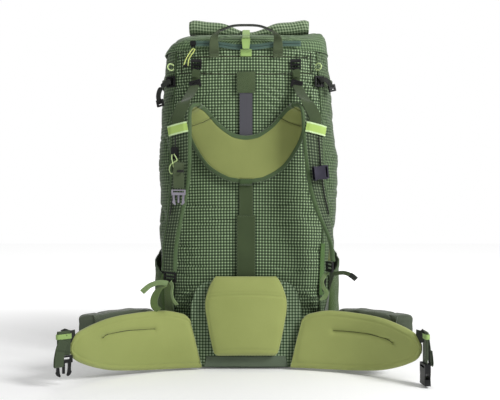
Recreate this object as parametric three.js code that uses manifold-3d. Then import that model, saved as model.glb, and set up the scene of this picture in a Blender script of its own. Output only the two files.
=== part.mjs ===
// A hiking backpack with a roll-top bag, one centre stay, a shoulder harness and a padded hip belt.
// Millimetres, +Z up. The harness side faces -Y and +X is to the right of someone who looks at it.
// The origin is the middle of the base, on the floor. A distance "out" is measured from the back of
// the bag towards -Y. Left and right are those of someone who looks at the harness.
import * as THREE from "three";
import { mergeVertices } from "three/addons/utils/BufferGeometryUtils.js";
import Module from "manifold-3d";

const wasm = await Module();
wasm.setup();

// Driving sizes

const clearance = 0.4; // between two pieces that touch or are sewn together
const pocketGap = 0.6; // between a wall and the pocket or strap on it, whose facets differ
const overrun = 2; // how far a cutting tool runs past what it cuts
const degree = Math.PI / 180;

const bag = {
  height: 622,
  width: 376,
  depth: 224,
  wall: 2.4,
  squareness: 3.2,
  heightShares: [0, 0.03, 0.1, 0.2, 0.37, 0.51, 0.66, 0.76, 0.85, 0.93, 1],
  widthShares: {
    left: [0.798, 0.862, 0.904, 0.926, 0.936, 0.952, 0.973, 0.941, 0.918, 0.899, 0.888],
    right: [0.798, 0.867, 0.92, 0.94, 0.963, 0.995, 1, 0.963, 0.944, 0.92, 0.897],
  },
  depthShares: [0.86, 0.9, 0.95, 0.98, 1, 1, 0.99, 0.97, 0.95, 0.92, 0.9],
  backSeam: 48 * degree,
  frontSeam: 132 * degree,
  baseThickness: 3,
};
const collar = {
  height: 38,
  mouthWidth: 210,
  mouthDepth: 42,
  mouthOut: -84,
  ear: 20,
  riseShares: [0, 0.45, 0.7, 0.9, 1],
  narrowingShares: [0, 0.1, 0.32, 0.68, 1],
  inwardShares: [0, 0.005, 0.28, 0.66, 1],
  earShares: { left: [0, -0.45, -0.3, 0, 0], right: [0, 1, 0.95, 0.32, 0] },
};
const roll = {
  length: 242,
  depth: 50,
  height: 30,
  offset: 6,
  lift: 5,
  liftShares: [1, 0.85, 0.2, 0, 0, 0, 0, 0, 0.3, 1, 1.2],
  stationShares: [-1, -0.93, -0.72, -0.45, -0.2, 0, 0.2, 0.45, 0.72, 0.93, 1],
  heightShares: [0.5, 0.95, 1, 0.92, 0.62, 0.48, 0.6, 0.86, 0.95, 0.9, 0.45],
  depthShares: [0.6, 0.95, 1, 1, 0.9, 0.84, 0.9, 1, 1, 0.92, 0.55],
};
const frameSheet = { width: 224, height: 560, thickness: 1.6, gap: 2.2, bottom: 14 };
const stay = { width: 25, thickness: 3.5, bottom: 30, top: 572 };
const stayPocket = { width: 37, height: 42, thickness: 1.8, overTop: 6 };
const staySleeve = { thickness: 1.6, upperWidth: 27, lowerWidth: 36, top: 354, step: 299, bottom: 178 };
const yoke = {
  thickness: 11,
  // one half, from the middle to the top of its fold: across, up and out of its two edges
  upperEdge: [
    [0, 454, 9.9], [15, 456, 9.9], [29, 461, 9.9], [51, 477, 9.9], [66, 494, 9.9], [75, 504, 13],
    [83, 510, 20], [88, 512, 32.7],
  ],
  lowerEdge: [
    [0, 359, 9.9], [20, 361, 9.9], [42, 367, 9.9], [74, 387, 9.9], [101, 424, 9.9], [113, 450, 12],
    [121, 475, 18], [131, 490, 29.7],
  ],
};
const strap = {
  thickness: 11,
  // from the top of the fold to the lower end: across, up and out of the inner and outer edges
  innerEdge: {
    left: [
      [88, 512, 33.3], [97, 508, 48], [101, 492, 59], [101, 448, 62], [102, 384, 62],
      [107, 345, 61], [118, 292, 58], [127, 243, 54], [131, 191.5, 50],
    ],
    right: [
      [88, 512, 33.3], [98, 508, 48], [103, 492, 59], [105, 448, 62], [112, 384, 62],
      [119, 345, 62], [133, 303, 61], [158, 250, 60], [167, 212, 56],
    ],
  },
  outerEdge: {
    left: [
      [131, 490, 30.3], [140, 487, 40], [145, 474, 46], [145, 440, 46], [144, 380, 44],
      [147, 342, 42], [152, 290, 38], [158, 243, 36], [160.5, 192.5, 36],
    ],
    right: [
      [131, 490, 30.3], [141, 487, 40], [148, 474, 46], [150, 440, 46], [152, 380, 43],
      [155, 342, 40], [160, 303, 36], [164, 250, 32], [158, 212, 33],
    ],
  },
};
const lumbar = {
  width: 160,
  height: 155,
  bottom: 27,
  thickness: 22,
  heightShares: [0, 0.03, 0.15, 0.4, 0.66, 0.85, 0.96, 1],
  widthShares: [0.72, 0.77, 0.84, 0.94, 1, 0.91, 0.8, 0.74],
  thicknessShares: [0.35, 0.7, 0.95, 1, 1, 0.95, 0.75, 0.35],
};
const beltCore = {
  thickness: 4,
  // right half of its outline, across and up
  outline: [[88, 4], [101, 50], [109, 98], [101, 146], [84, 166], [60, 174]],
};
const fin = {
  length: 275,
  thickness: 15,
  seat: 0.9, // its curve brings the inner edge nearer to the belt core than its middle
  innerAcross: 84,
  startAngle: 8 * degree,
  endAngle: 54 * degree,
  bottom: 2.6,
  height: 116,
  lowerShares: [
    [0, 0.01],
    [0.05, 0],
    [0.27, 0],
    [0.5, 0.03],
    [0.68, 0.09],
    [0.84, 0.21],
    [0.94, 0.34],
    [0.985, 0.47],
  ],
  upperShares: [
    [0.085, 0.83],
    [0.14, 0.93],
    [0.28, 1],
    [0.5, 0.985],
    [0.68, 0.94],
    [0.83, 0.85],
    [0.94, 0.74],
    [0.985, 0.6],
  ],
  thicknessShares: [0.85, 1, 1, 1, 1, 0.95, 0.8, 0.45],
};
const hipPocket = {
  start: 92,
  end: 231,
  bottom: 22,
  top: 121,
  thickness: 40,
  stationShares: [0, 0.03, 0.12, 0.26, 0.4, 0.52, 0.65, 0.77, 0.88, 0.98, 1],
  thicknessShares: [0.62, 0.84, 1, 1, 1, 1, 1, 1, 1, 0.84, 0.66],
  topShares: [0.9, 0.97, 1, 1, 1, 1, 0.99, 0.98, 0.97, 0.95, 0.9],
  bottomShares: [0.06, 0.02, 0, 0, 0, 0.02, 0.05, 0.1, 0.16, 0.26, 0.34],
};
const hipSlider = { length: 11, width: 8, thickness: 3.4, drop: 20, height: 96, startAngle: 2.6 * degree };
const sidePocket = {
  back: 62 * degree,
  front: 126 * degree,
  bottom: 12,
  backTop: 178,
  frontTop: 246,
  bulge: 16,
  topShare: 0.62,
  wall: 2,
  closeShare: 0.16,
};
const frontPocket = {
  from: 140 * degree,
  to: 220 * degree,
  bottom: 40,
  top: 400,
  bulge: 14,
  topShare: 0.9,
  wall: 2,
  closeShare: 0.08,
};
const topZip = { length: 214, width: 11, thickness: 1.2, aboveShare: 0.28 };
const topZipHeight = bag.height + clearance + collar.height * topZip.aboveShare;
const topSlider = {
  length: 12,
  width: 9,
  thickness: 4.4,
  fromEnd: 4,
  pullWidth: 7,
  pullDrop: 6,
  sunk: 1,
  eyeShare: 0.6,
};
const topSliderStart = topZip.length / 2 - topSlider.fromEnd;
const pullCord = { diameter: 2.2, drop: 33, spread: 12.5, endLength: 9, endDiameter: 5 };
// the cord's way down one side of its loop, over its top and down the other: across as shares of
// its spread, down as shares of its drop
const pullCordShares = {
  down: [[-1.5, 1], [-31 / 30, 0.55]],
  up: [[-0.75 + 1 / 6, 0.55], [-1 + 1 / 6, 1]],
  shoulder: 0.25,
};
const webbing = { thickness: 1.6, narrow: 15, medium: 20, wide: 25 };
const haul = {
  across: 62,
  base: 606,
  sewn: 614,
  over: 621,
  shoulder: 644,
  top: 663,
  bridge: 9,
  out: 20,
  thicknessShare: 1.2,
  widthShare: 0.95,
  // across, up and out of the arch on one side, and how far the webbing has turned on edge
  archShares: [[0.98, 0, 0.2, 0.3 / 1.3], [0.8, 0.55, 0.7, 1 / 1.3], [0.42, 0.92, 1, 1]],
};
const hook = { width: 17, endWidth: 13, height: 19, thickness: 4, top: 641, out: 7 };
const hookJawShares = { height: 0.2, place: 0.75, depth: 0.5 };
const hookTab = {
  width: 22,
  thickness: 1.8,
  bottom: 608,
  bend: 615,
  top: 620,
  out: 8,
  liftShare: 0.8,
  awayShare: 0.7,
};
const topStrap = { frontDrop: 150, foldShare: 0.45, riseShare: 0.5 };
const ladderLock = { bar: 3.2, slot: 3.6, thickness: 4.2, lip: 4.6, side: 3 };
const lifter = {
  across: 97,
  buckleHeight: 592,
  keeperHeight: 554,
  above: 12,
  bandShare: 0.55,
  slopeShare: 0.4,
  fold: [[111, 523, 33], [116, 513, 50]],
};
const strapBand = {
  height: 462,
  width: 24,
  thickness: 1.4,
  acrossShares: [0.14, 0.22, 0.27, 0.83, 0.9, 1],
  liftShares: [0, 0.3, 1, 1, 0.4, 0],
};
const rail = { top: 446, bottom: 300, diameter: 2.6, share: 0.66, standoff: 1.2 };
const slider = { height: { left: 416, right: 380 }, width: 13, length: 24, thickness: 7 };
const sternum = { drop: 55, sway: 8, lean: 8, socketInset: 8 };
const sternumShares = [[0, 0], [0.25, 0.4], [0.6, 1], [1, 1]]; // down and aside
const buckle = { sternumWeb: 20, beltWeb: 25, thicknessShare: 0.3, wall: 1.5 };
// shares of the webbing's width
const plugShares = { width: 1.3, frame: 0.5, slot: 0.16, slotDrop: 0.18, reach: 1.02, tongue: 0.8 };
const armShares = { root: 0.44, thickness: 0.62, tongueThickness: 0.5, frameThickness: 0.8 };
// across as shares of the arm's root, down as shares of its reach
const armOutlineShares = {
  start: [1, 0],
  neck: [[0.9, 0.5], [0.94, 0.62]],
  barb: [1.02, 0.7],
  tip: [[0.92, 0.96], [0.5, 1]],
  inside: [0.46, 0.9],
  end: [[0.66, 0.7], [0.62, 0]],
};
const socketShares = { width: 1.36, height: 1.5, mouth: 1.1, mouthDepth: 0.66, slot: 0.16, slotPlace: 0.86 };
const socketWindowShares = { height: 0.3, place: 0.44 };
// across as shares of the socket's width, down as shares of its height
const socketSideShares = [[0.5, 0], [0.4, 0.25], [0.46, 0.5], [0.52, 0.75], [0.46, 1]];
const compression = {
  height: 562,
  buckleAngle: { left: 51 * degree, right: 45 * degree },
  endAngle: 118 * degree,
  gapShare: 1.1,
};
const gearLoop = {
  diameter: 2.6,
  radius: 8,
  height: 590,
  angle: { left: 49 * degree, right: 43 * degree },
  openShare: 0.42,
  flatShare: 0.8,
};
const lowerWeb = { top: 86, bottom: 60, angle: 54 * degree, width: 20 };
const beltTip = {
  reach: { left: 10.4, right: 5 },
  angle: { left: 40 * degree, right: 86 * degree },
  top: 98,
  plugEnd: 18,
  socketEnd: 3.5,
};

// Materials

const material = (color, roughness, metalness = 0) =>
  new THREE.MeshStandardMaterial({ color, roughness, metalness });
const gridFabric = material("#4d6b46", 0.8);
const plainFabric = material("#5a7a45", 0.85);
const darkFabric = material("#53635a", 0.8);
const foamLining = material("#9aa565", 0.75);
const webbingFabric = material("#4c5c3c", 0.85);
const limeFabric = material("#a3cf6b", 0.8);
const buckleBlack = material("#1b1c1e", 0.45);
const buckleGrey = material("#75707a", 0.45);
const aluminium = material("#6a6875", 0.35, 0.8);
const sheetPlastic = material("#23252a", 0.55);
const cordYellow = material("#cfdc6a", 0.7);

// Solid builders

const vec = (x, y, z) => new THREE.Vector3(x, y, z);
const mix = THREE.MathUtils.lerp;

// A closed mesh from positions and faces, turned so that its faces point out.
function closed(points, faces) {
  let volume = 0;
  const cross = new THREE.Vector3();
  for (const [a, b, c] of faces) volume += points[a].dot(cross.crossVectors(points[b], points[c]));
  const turned = volume < 0 ? faces.map(([a, b, c]) => [a, c, b]) : faces;
  const geometry = new THREE.BufferGeometry().setFromPoints(points);
  geometry.setIndex(turned.flat());
  return geometry;
}

// Rings of the same number of points, joined into a tube and closed at both ends.
function loft(rings) {
  const count = rings[0].length;
  const points = rings.flat();
  const faces = [];
  for (let i = 0; i + 1 < rings.length; i++)
    for (let k = 0; k < count; k++) {
      const a = i * count + k;
      const b = i * count + ((k + 1) % count);
      faces.push([a, b, b + count], [a, b + count, a + count]);
    }
  for (const [start, turn] of [[0, true], [(rings.length - 1) * count, false]]) {
    const middle = new THREE.Vector3();
    for (let k = 0; k < count; k++) middle.addScaledVector(points[start + k], 1 / count);
    const hub = points.push(middle) - 1;
    for (let k = 0; k < count; k++) {
      const a = start + k;
      const b = start + ((k + 1) % count);
      faces.push(turn ? [hub, b, a] : [hub, a, b]);
    }
  }
  return closed(points, faces);
}

// One ring between two edge points: flat webbing has four corners, padding a rounded section.
function ring(a, b, normal, thickness, sides = 12, roundness = 0.45) {
  const middle = a.clone().add(b).multiplyScalar(0.5);
  const half = b.clone().sub(a).multiplyScalar(0.5);
  const up = normal.clone().normalize().multiplyScalar(thickness / 2);
  const curve = (value) => Math.sign(value) * Math.abs(value) ** roundness;
  const corners = sides === 4 ? [[-1, -1], [1, -1], [1, 1], [-1, 1]] : [];
  for (let k = 0; k < sides && sides !== 4; k++) {
    const turn = ((k + 0.5) / sides) * 2 * Math.PI;
    corners.push([curve(Math.cos(turn)), curve(Math.sin(turn))]);
  }
  return corners.map(([u, v]) => middle.clone().addScaledVector(half, u).addScaledVector(up, v));
}

// A strip along stations, each with a middle, a rough width direction and a width. Its face stays
// square to its path.
function strip(stations, thickness, sides = 4) {
  const last = stations.length - 1;
  return loft(
    stations.map(({ at, along, width, thick = thickness }, i) => {
      const path = stations[Math.min(i + 1, last)].at.clone().sub(stations[Math.max(i - 1, 0)].at);
      path.normalize();
      const half = along.clone().addScaledVector(path, -path.dot(along));
      half.normalize().multiplyScalar(width / 2);
      const face = path.clone().cross(half);
      return ring(at.clone().sub(half), at.clone().add(half), face, thick, sides);
    }),
  );
}

// A sheet of the given thickness whose two sides are grids of points.
function sheet(outer, inner, closedRound = false) {
  const rows = outer.length;
  const columns = outer[0].length;
  const points = [...outer.flat(), ...inner.flat()];
  const behind = rows * columns;
  const faces = [];
  const lastColumn = closedRound ? columns : columns - 1;
  const id = (i, j) => i * columns + (j % columns);
  for (let i = 0; i + 1 < rows; i++)
    for (let j = 0; j < lastColumn; j++) {
      const [a, b, c, d] = [id(i, j), id(i, j + 1), id(i + 1, j + 1), id(i + 1, j)];
      faces.push([a, b, c], [a, c, d]);
      faces.push([behind + a, behind + c, behind + b], [behind + a, behind + d, behind + c]);
    }
  const wallBetween = (a, b) => faces.push([a, behind + a, behind + b], [a, behind + b, b]);
  for (let j = 0; j < lastColumn; j++) {
    wallBetween(id(0, j), id(0, j + 1));
    wallBetween(id(rows - 1, j + 1), id(rows - 1, j));
  }
  for (let i = 0; i + 1 < rows && !closedRound; i++) {
    wallBetween(id(i + 1, 0), id(i, 0));
    wallBetween(id(i, columns - 1), id(i + 1, columns - 1));
  }
  return closed(points, faces);
}

// An outline pulled out into a plate that is centred on its thickness.
function plate(shape, thickness, curveSegments = 6) {
  const options = { depth: thickness, bevelEnabled: false, curveSegments };
  return new THREE.ExtrudeGeometry(shape, options).translate(0, 0, -thickness / 2);
}

function roundedRectangle(width, height, radius, Outline = THREE.Shape) {
  const [x, y] = [width / 2, height / 2];
  const outline = new Outline();
  outline.moveTo(-x + radius, -y);
  outline.lineTo(x - radius, -y);
  outline.absarc(x - radius, -y + radius, radius, -Math.PI / 2, 0);
  outline.lineTo(x, y - radius);
  outline.absarc(x - radius, y - radius, radius, 0, Math.PI / 2);
  outline.lineTo(-x + radius, y);
  outline.absarc(-x + radius, y - radius, radius, Math.PI / 2, Math.PI);
  outline.lineTo(-x, -y + radius);
  outline.absarc(-x + radius, -y + radius, radius, Math.PI, Math.PI * 1.5);
  return outline;
}

// A cord: a round section pulled along a smooth curve through the points.
function cord(points, diameter, steps, sides = 6) {
  const section = new THREE.Shape();
  for (let k = 0; k < sides; k++) {
    const turn = (k / sides) * 2 * Math.PI;
    const [x, y] = [Math.cos(turn) * (diameter / 2), Math.sin(turn) * (diameter / 2)];
    if (k) section.lineTo(x, y);
    else section.moveTo(x, y);
  }
  const path = new THREE.CatmullRomCurve3(points);
  return new THREE.ExtrudeGeometry(section, { steps, extrudePath: path });
}

function toSolid(geometry) {
  const bare = geometry.clone();
  bare.deleteAttribute("normal");
  bare.deleteAttribute("uv");
  const merged = mergeVertices(bare, 1e-4);
  const mesh = new wasm.Mesh({
    numProp: 3,
    vertProperties: new Float32Array(merged.attributes.position.array),
    triVerts: new Uint32Array(merged.index.array),
  });
  return new wasm.Manifold(mesh);
}

function toGeometry(solid) {
  const mesh = solid.getMesh();
  const geometry = new THREE.BufferGeometry();
  geometry.setAttribute("position", new THREE.BufferAttribute(mesh.vertProperties, 3));
  geometry.setIndex(new THREE.BufferAttribute(mesh.triVerts, 1));
  return geometry;
}

const block = (width, depth, height, x = 0, y = 0, z = 0) =>
  new THREE.BoxGeometry(width, depth, height).translate(x, y, z);

function cut(geometry, ...tools) {
  return toGeometry(tools.reduce((solid, tool) => solid.subtract(toSolid(tool)), toSolid(geometry)));
}

function join(...pieces) {
  return toGeometry(pieces.map(toSolid).reduce((solid, piece) => solid.add(piece)));
}

const pack = new THREE.Group();

function add(name, geometry, finish, parent = pack) {
  const mesh = new THREE.Mesh(geometry, finish);
  mesh.name = name;
  parent.add(mesh);
  return mesh;
}

// The bag's shape

const backPlane = -(bag.depth * bag.depthShares[0]) / 2;
const outwards = (out) => backPlane - out;

// Reads a smooth value from a table of shares at one share of the height.
function shareAt(share, positions, values) {
  const last = positions.length - 1;
  const t = THREE.MathUtils.clamp(share, positions[0], positions[last]);
  let i = 0;
  while (i < last - 1 && t > positions[i + 1]) i++;
  const slope = (k) => {
    const [low, high] = [Math.max(k - 1, 0), Math.min(k + 1, last)];
    return (values[high] - values[low]) / (positions[high] - positions[low]);
  };
  const span = positions[i + 1] - positions[i];
  const u = (t - positions[i]) / span;
  const [u2, u3] = [u * u, u * u * u];
  const start = (2 * u3 - 3 * u2 + 1) * values[i] + (u3 - 2 * u2 + u) * span * slope(i);
  return start + (3 * u2 - 2 * u3) * values[i + 1] + (u3 - u2) * span * slope(i + 1);
}

const halfWidthAt = (z, side) =>
  (bag.width / 2) * shareAt(z / bag.height, bag.heightShares, bag.widthShares[side]);
const halfDepthAt = (z) => (bag.depth / 2) * shareAt(z / bag.height, bag.heightShares, bag.depthShares);
const power = (value) => Math.sign(value) * Math.abs(value) ** (2 / bag.squareness);

// A point on the bag's outer face, moved out of it by the standoff. The turn is 0 at the middle of
// the back, a quarter turn at the right side and half a turn at the middle of the front.
function bagPoint(turn, z, standoff = 0) {
  const side = Math.sin(turn) < 0 ? "left" : "right";
  const [halfWidth, halfDepth] = [halfWidthAt(z, side), halfDepthAt(z)];
  const x = (halfWidth + standoff) * power(Math.sin(turn));
  const y = backPlane + halfDepth - (halfDepth + standoff) * power(Math.cos(turn));
  return vec(x, y, z);
}

// How far the bag's back lies behind its middle line at a place beside it.
function backFallAt(x, z) {
  const share = Math.min(Math.abs(x) / halfWidthAt(z, x < 0 ? "left" : "right"), 1);
  return halfDepthAt(z) * (1 - (1 - share ** bag.squareness) ** (1 / bag.squareness));
}

function wallPanel(from, to, columns, rows) {
  const seam = (2 * clearance) / bag.depth;
  const side = (standoff) =>
    Array.from({ length: rows + 1 }, (_, i) =>
      Array.from({ length: columns + 1 }, (_, j) =>
        bagPoint(mix(from + seam, to - seam, j / columns), (bag.height * i) / rows, standoff),
      ),
    );
  return sheet(side(0), side(-bag.wall));
}

function bagWalls() {
  const rows = 13;
  const round = 2 * Math.PI;
  add("back_panel", wallPanel(-bag.backSeam, bag.backSeam, 12, rows), gridFabric);
  add("side_panel_right", wallPanel(bag.backSeam, bag.frontSeam, 8, rows), gridFabric);
  add("front_panel", wallPanel(bag.frontSeam, round - bag.frontSeam, 12, rows), gridFabric);
  add("side_panel_left", wallPanel(round - bag.frontSeam, round - bag.backSeam, 8, rows), gridFabric);
}

function basePanel() {
  const outline = new THREE.Shape();
  const steps = 28;
  for (let k = 0; k < steps; k++) {
    const point = bagPoint((k / steps) * 2 * Math.PI, 0, -bag.wall - pocketGap);
    if (k) outline.lineTo(point.x, point.y);
    else outline.moveTo(point.x, point.y);
  }
  const geometry = plate(outline, bag.baseThickness).translate(0, 0, bag.baseThickness / 2);
  add("base_panel", geometry, darkFabric);
}

// A point of the domed top of the bag, which draws in to the flat mouth under the roll.
function collarPoint(row, turn, wall) {
  const side = Math.sin(turn) < 0 ? "left" : "right";
  const [narrowing, inward] = [collar.narrowingShares[row], collar.inwardShares[row]];
  const [halfWidth, halfDepth] = [halfWidthAt(bag.height, side), halfDepthAt(bag.height)];
  const a = mix(halfWidth, collar.mouthWidth / 2, narrowing) - wall;
  const b = mix(halfDepth, collar.mouthDepth / 2, inward) - wall;
  const middle = mix(backPlane + halfDepth, outwards(collar.mouthOut), inward);
  const ear = collar.ear * collar.earShares[side][row] * Math.abs(Math.sin(turn)) ** 6;
  const sink = row === 0 ? 0 : wall * inward;
  const z = bag.height + clearance + collar.height * collar.riseShares[row] + ear - sink;
  return vec(a * power(Math.sin(turn)), middle - b * power(Math.cos(turn)), z);
}

function bagCollar() {
  const columns = 28;
  const side = (wall) =>
    collar.riseShares.map((_, row) =>
      Array.from({ length: columns }, (_, j) => collarPoint(row, (j / columns) * 2 * Math.PI, wall)),
    );
  add("collar", sheet(side(0), side(bag.wall), true), gridFabric);
}

// Inside and on the back

// A plate that follows the back of the bag, set off it by the standoff.
function backSheet(width, bottom, top, standoff, thickness, columns, rows) {
  const side = (out) =>
    Array.from({ length: rows + 1 }, (_, i) =>
      Array.from({ length: columns + 1 }, (_, j) => {
        const [x, z] = [mix(-width / 2, width / 2, j / columns), mix(bottom, top, i / rows)];
        return vec(x, outwards(out) + backFallAt(x, z), z);
      }),
    );
  return sheet(side(standoff + thickness), side(standoff));
}

function backFrame() {
  const inside = -bag.wall - frameSheet.gap - frameSheet.thickness;
  const top = frameSheet.bottom + frameSheet.height;
  const { width, bottom, thickness } = frameSheet;
  add("frame_sheet", backSheet(width, bottom, top, inside, thickness, 10, 8), sheetPlastic);
  const bar = roundedRectangle(stay.width, stay.top - stay.bottom, stay.width / 2 - clearance);
  const upright = plate(bar, stay.thickness, 5).rotateX(Math.PI / 2);
  const stayOut = clearance + stay.thickness / 2;
  add("stay", upright, aluminium).position.set(0, outwards(stayOut), (stay.top + stay.bottom) / 2);
}

const stayFront = stay.thickness + 2 * clearance;

function stayCovers() {
  const patch = roundedRectangle(stayPocket.width, stayPocket.height, stayPocket.thickness);
  const pocket = plate(patch, stayPocket.thickness, 3).rotateX(Math.PI / 2);
  const pocketMiddle = stay.top + stayPocket.overTop - stayPocket.height / 2;
  const pocketOut = stayFront + stayPocket.thickness / 2;
  add("stay_pocket", pocket, webbingFabric).position.set(0, outwards(pocketOut), pocketMiddle);
  const [wide, narrow] = [staySleeve.lowerWidth / 2, staySleeve.upperWidth / 2];
  const sleeve = new THREE.Shape();
  sleeve.moveTo(-wide, staySleeve.bottom);
  sleeve.lineTo(wide, staySleeve.bottom);
  sleeve.lineTo(wide, staySleeve.step);
  sleeve.lineTo(narrow, staySleeve.step);
  sleeve.lineTo(narrow, staySleeve.top);
  sleeve.lineTo(-narrow, staySleeve.top);
  sleeve.lineTo(-narrow, staySleeve.step);
  sleeve.lineTo(-wide, staySleeve.step);
  const sleeveOut = stayFront + staySleeve.thickness / 2;
  const cover = plate(sleeve, staySleeve.thickness).rotateX(Math.PI / 2);
  add("stay_sleeve", cover, webbingFabric).position.set(0, outwards(sleeveOut), 0);
}

// The shoulder harness

const sideSign = { left: -1, right: 1 };

// A point of a table of places across, up and out, on one side of the bag.
const harnessPoint = (side, [across, up, out]) => vec(sideSign[side] * across, outwards(out), up);

// Padding between two edges: each section stands square to the way the padding runs. The way it
// runs at either end can be given, so that two paddings meet face to face.
function padding(inner, outer, thickness, startWay, endWay) {
  const middles = inner.map((point, i) => point.clone().add(outer[i]).multiplyScalar(0.5));
  const last = middles.length - 1;
  const rings = inner.map((point, i) => {
    const between = middles[Math.min(i + 1, last)].clone().sub(middles[Math.max(i - 1, 0)]);
    const given = (i === 0 && startWay) || (i === last && endWay);
    const face = (given || between).clone().cross(outer[i].clone().sub(point));
    return ring(point, outer[i], face, thickness, 10);
  });
  return loft(rings);
}

// The collar-shaped pad: its two horns rise and fold forward to where the straps begin.
function shoulderYoke() {
  const edge = (table) => [
    ...table.map((place) => harnessPoint("left", place)).reverse(),
    ...table.slice(1).map((place) => harnessPoint("right", place)),
  ];
  const [fromFold, intoFold] = [vec(0, 1, 0), vec(0, -1, 0)];
  const shape = padding(edge(yoke.upperEdge), edge(yoke.lowerEdge), yoke.thickness, fromFold, intoFold);
  add("shoulder_yoke", shape, foamLining);
}

// The strap at a height: its middle, the way it runs, its width direction and its outward face.
function strapFrame(side, z, share = 0.5) {
  const inner = strap.innerEdge[side].map((place) => harnessPoint(side, place));
  const outer = strap.outerEdge[side].map((place) => harnessPoint(side, place));
  const rows = inner.map((point, i) => point.clone().lerp(outer[i], share));
  let i = 2;
  while (i < rows.length - 2 && rows[i + 1].z > z) i++;
  const part = (rows[i].z - z) / (rows[i].z - rows[i + 1].z);
  const at = rows[i].clone().lerp(rows[i + 1], part);
  const down = rows[i + 1].clone().sub(rows[i]).normalize();
  const wide = outer[i].clone().lerp(outer[i + 1], part).sub(inner[i].clone().lerp(inner[i + 1], part));
  const width = wide.length();
  wide.addScaledVector(down, -down.dot(wide)).normalize();
  const face = down.clone().cross(wide).multiplyScalar(sideSign[side]);
  return { at, down, wide, face, width };
}

// A turned copy of a local frame: x across the strap, y into it and z up along it.
function alongStrap({ down, wide, face }, side) {
  const across = wide.clone().multiplyScalar(sideSign[side]);
  return new THREE.Matrix4().makeBasis(across, face.clone().negate(), down.clone().negate());
}

function shoulderStrap(side, body) {
  const edge = (table) => table[side].map((place) => harnessPoint(side, place));
  const shape = padding(edge(strap.innerEdge), edge(strap.outerEdge), strap.thickness, vec(0, -1, 0));
  add(`shoulder_strap_${side}`, shape, gridFabric, body);
}

// A band sewn across the strap's face, which the end of the load lifter runs under.
function bandOver(side, body) {
  const low = strap.thickness / 2 + 1.5 * clearance + strapBand.thickness / 2;
  const high = low + webbing.thickness + clearance;
  const stations = strapBand.acrossShares.map((share, i) => {
    const { at, down, face } = strapFrame(side, strapBand.height, share);
    at.addScaledVector(face, mix(low, high, strapBand.liftShares[i]));
    return { at, along: down, width: strapBand.width };
  });
  add(`strap_band_${side}`, strip(stations, strapBand.thickness), limeFabric, body);
}

// A ladder lock: a frame with a lifted lip and two slots for the webbing, lying in the XZ plane.
function ladderLockSolid(web) {
  const { bar, slot, thickness, lip, side } = ladderLock;
  const length = 3 * bar + 2 * slot;
  const profile = new THREE.Shape();
  profile.moveTo(0, -length / 2);
  profile.lineTo(thickness, -length / 2);
  profile.lineTo(thickness, length / 2 - bar);
  profile.quadraticCurveTo(thickness, length / 2, thickness + lip / 2, length / 2 + lip / 2);
  profile.lineTo(thickness / 2 + lip / 4, length / 2 + lip / 2);
  profile.quadraticCurveTo(0, length / 2, 0, length / 2 - bar);
  const width = web + 2 * side;
  const body = plate(profile, width, 3).applyMatrix4(
    new THREE.Matrix4().makeBasis(vec(0, -1, 0), vec(0, 0, 1), vec(-1, 0, 0)),
  );
  const opening = web + clearance;
  const hole = (z) => block(opening, thickness + 2 * overrun, slot, 0, -thickness / 2, z);
  const step = (bar + slot) / 2;
  return cut(body, hole(step), hole(-step));
}

const lockLength = 3 * ladderLock.bar + 2 * ladderLock.slot;

function lifterBuckle(side) {
  const x = sideSign[side] * lifter.across;
  const buckleMesh = add(`lifter_buckle_${side}`, ladderLockSolid(webbing.narrow), buckleBlack);
  const z = lifter.buckleHeight;
  const fall = backFallAt(Math.abs(x) - webbing.narrow / 2, z);
  buckleMesh.position.set(x, outwards(clearance) + fall, z);
  return buckleMesh;
}

// The webbing from the buckle on the bag, over the fold, down to the band on the strap.
function loadLifter(side) {
  const top = lifter.buckleHeight - lockLength / 2 - ladderLock.lip / 2;
  const thick = webbing.thickness;
  const out = clearance + thick / 2;
  const bandTop = strapBand.height + strapBand.width / 2 + thick;
  const level = vec(1, 0, 0);
  const tilted = vec(1, 0, -sideSign[side] * lifter.slopeShare);
  const width = webbing.wide;
  const onStrap = (z) => {
    const { at, wide, face } = strapFrame(side, z, lifter.bandShare);
    at.addScaledVector(face, strap.thickness / 2 + 2 * clearance + thick / 2);
    return { at, along: wide.clone().multiplyScalar(sideSign[side]), width };
  };
  const keeper = [lifter.across + thick, lifter.keeperHeight, out + thick];
  const stations = [
    { at: harnessPoint(side, [lifter.across, top, out]), along: level, width: webbing.narrow },
    { at: harnessPoint(side, keeper), along: level, width: webbing.narrow },
    ...lifter.fold.map((place) => ({ at: harnessPoint(side, place), along: tilted, width })),
    onStrap(bandTop + lifter.above),
    onStrap(bandTop),
    onStrap(strapBand.height),
  ];
  add(`load_lifter_${side}`, strip(stations, thick), webbingFabric);
}

// The lower end of a strap, where its adjuster hangs.
function strapEnd(side) {
  const last = strap.innerEdge[side].length - 1;
  return strapFrame(side, strap.innerEdge[side][last][1]);
}

// The strap's adjuster at its lower end, and the webbing that runs from it to the bag's corner.
function strapAdjuster(side, body) {
  const frame = strapEnd(side);
  const mesh = add(`strap_adjuster_${side}`, ladderLockSolid(webbing.medium), buckleBlack, body);
  const turned = alongStrap(frame, side).multiply(new THREE.Matrix4().makeRotationX(Math.PI));
  mesh.quaternion.setFromRotationMatrix(turned);
  const reach = lockLength / 2 + 2 * clearance;
  mesh.position.copy(frame.at).addScaledVector(frame.down, reach);
  mesh.position.addScaledVector(frame.face, -ladderLock.thickness / 2);
}

// A place on the bag's wall, with the way along the wall and the way out of it.
function wallFrame(side, turn, z, standoff) {
  const place = (extra, out) => bagPoint(sideSign[side] * (turn + extra), z, standoff + out);
  const at = place(0, 0);
  const along = place(degree, 0).sub(place(-degree, 0)).normalize();
  const out = place(0, 1).sub(at).normalize();
  return { at, along, out };
}

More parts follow.
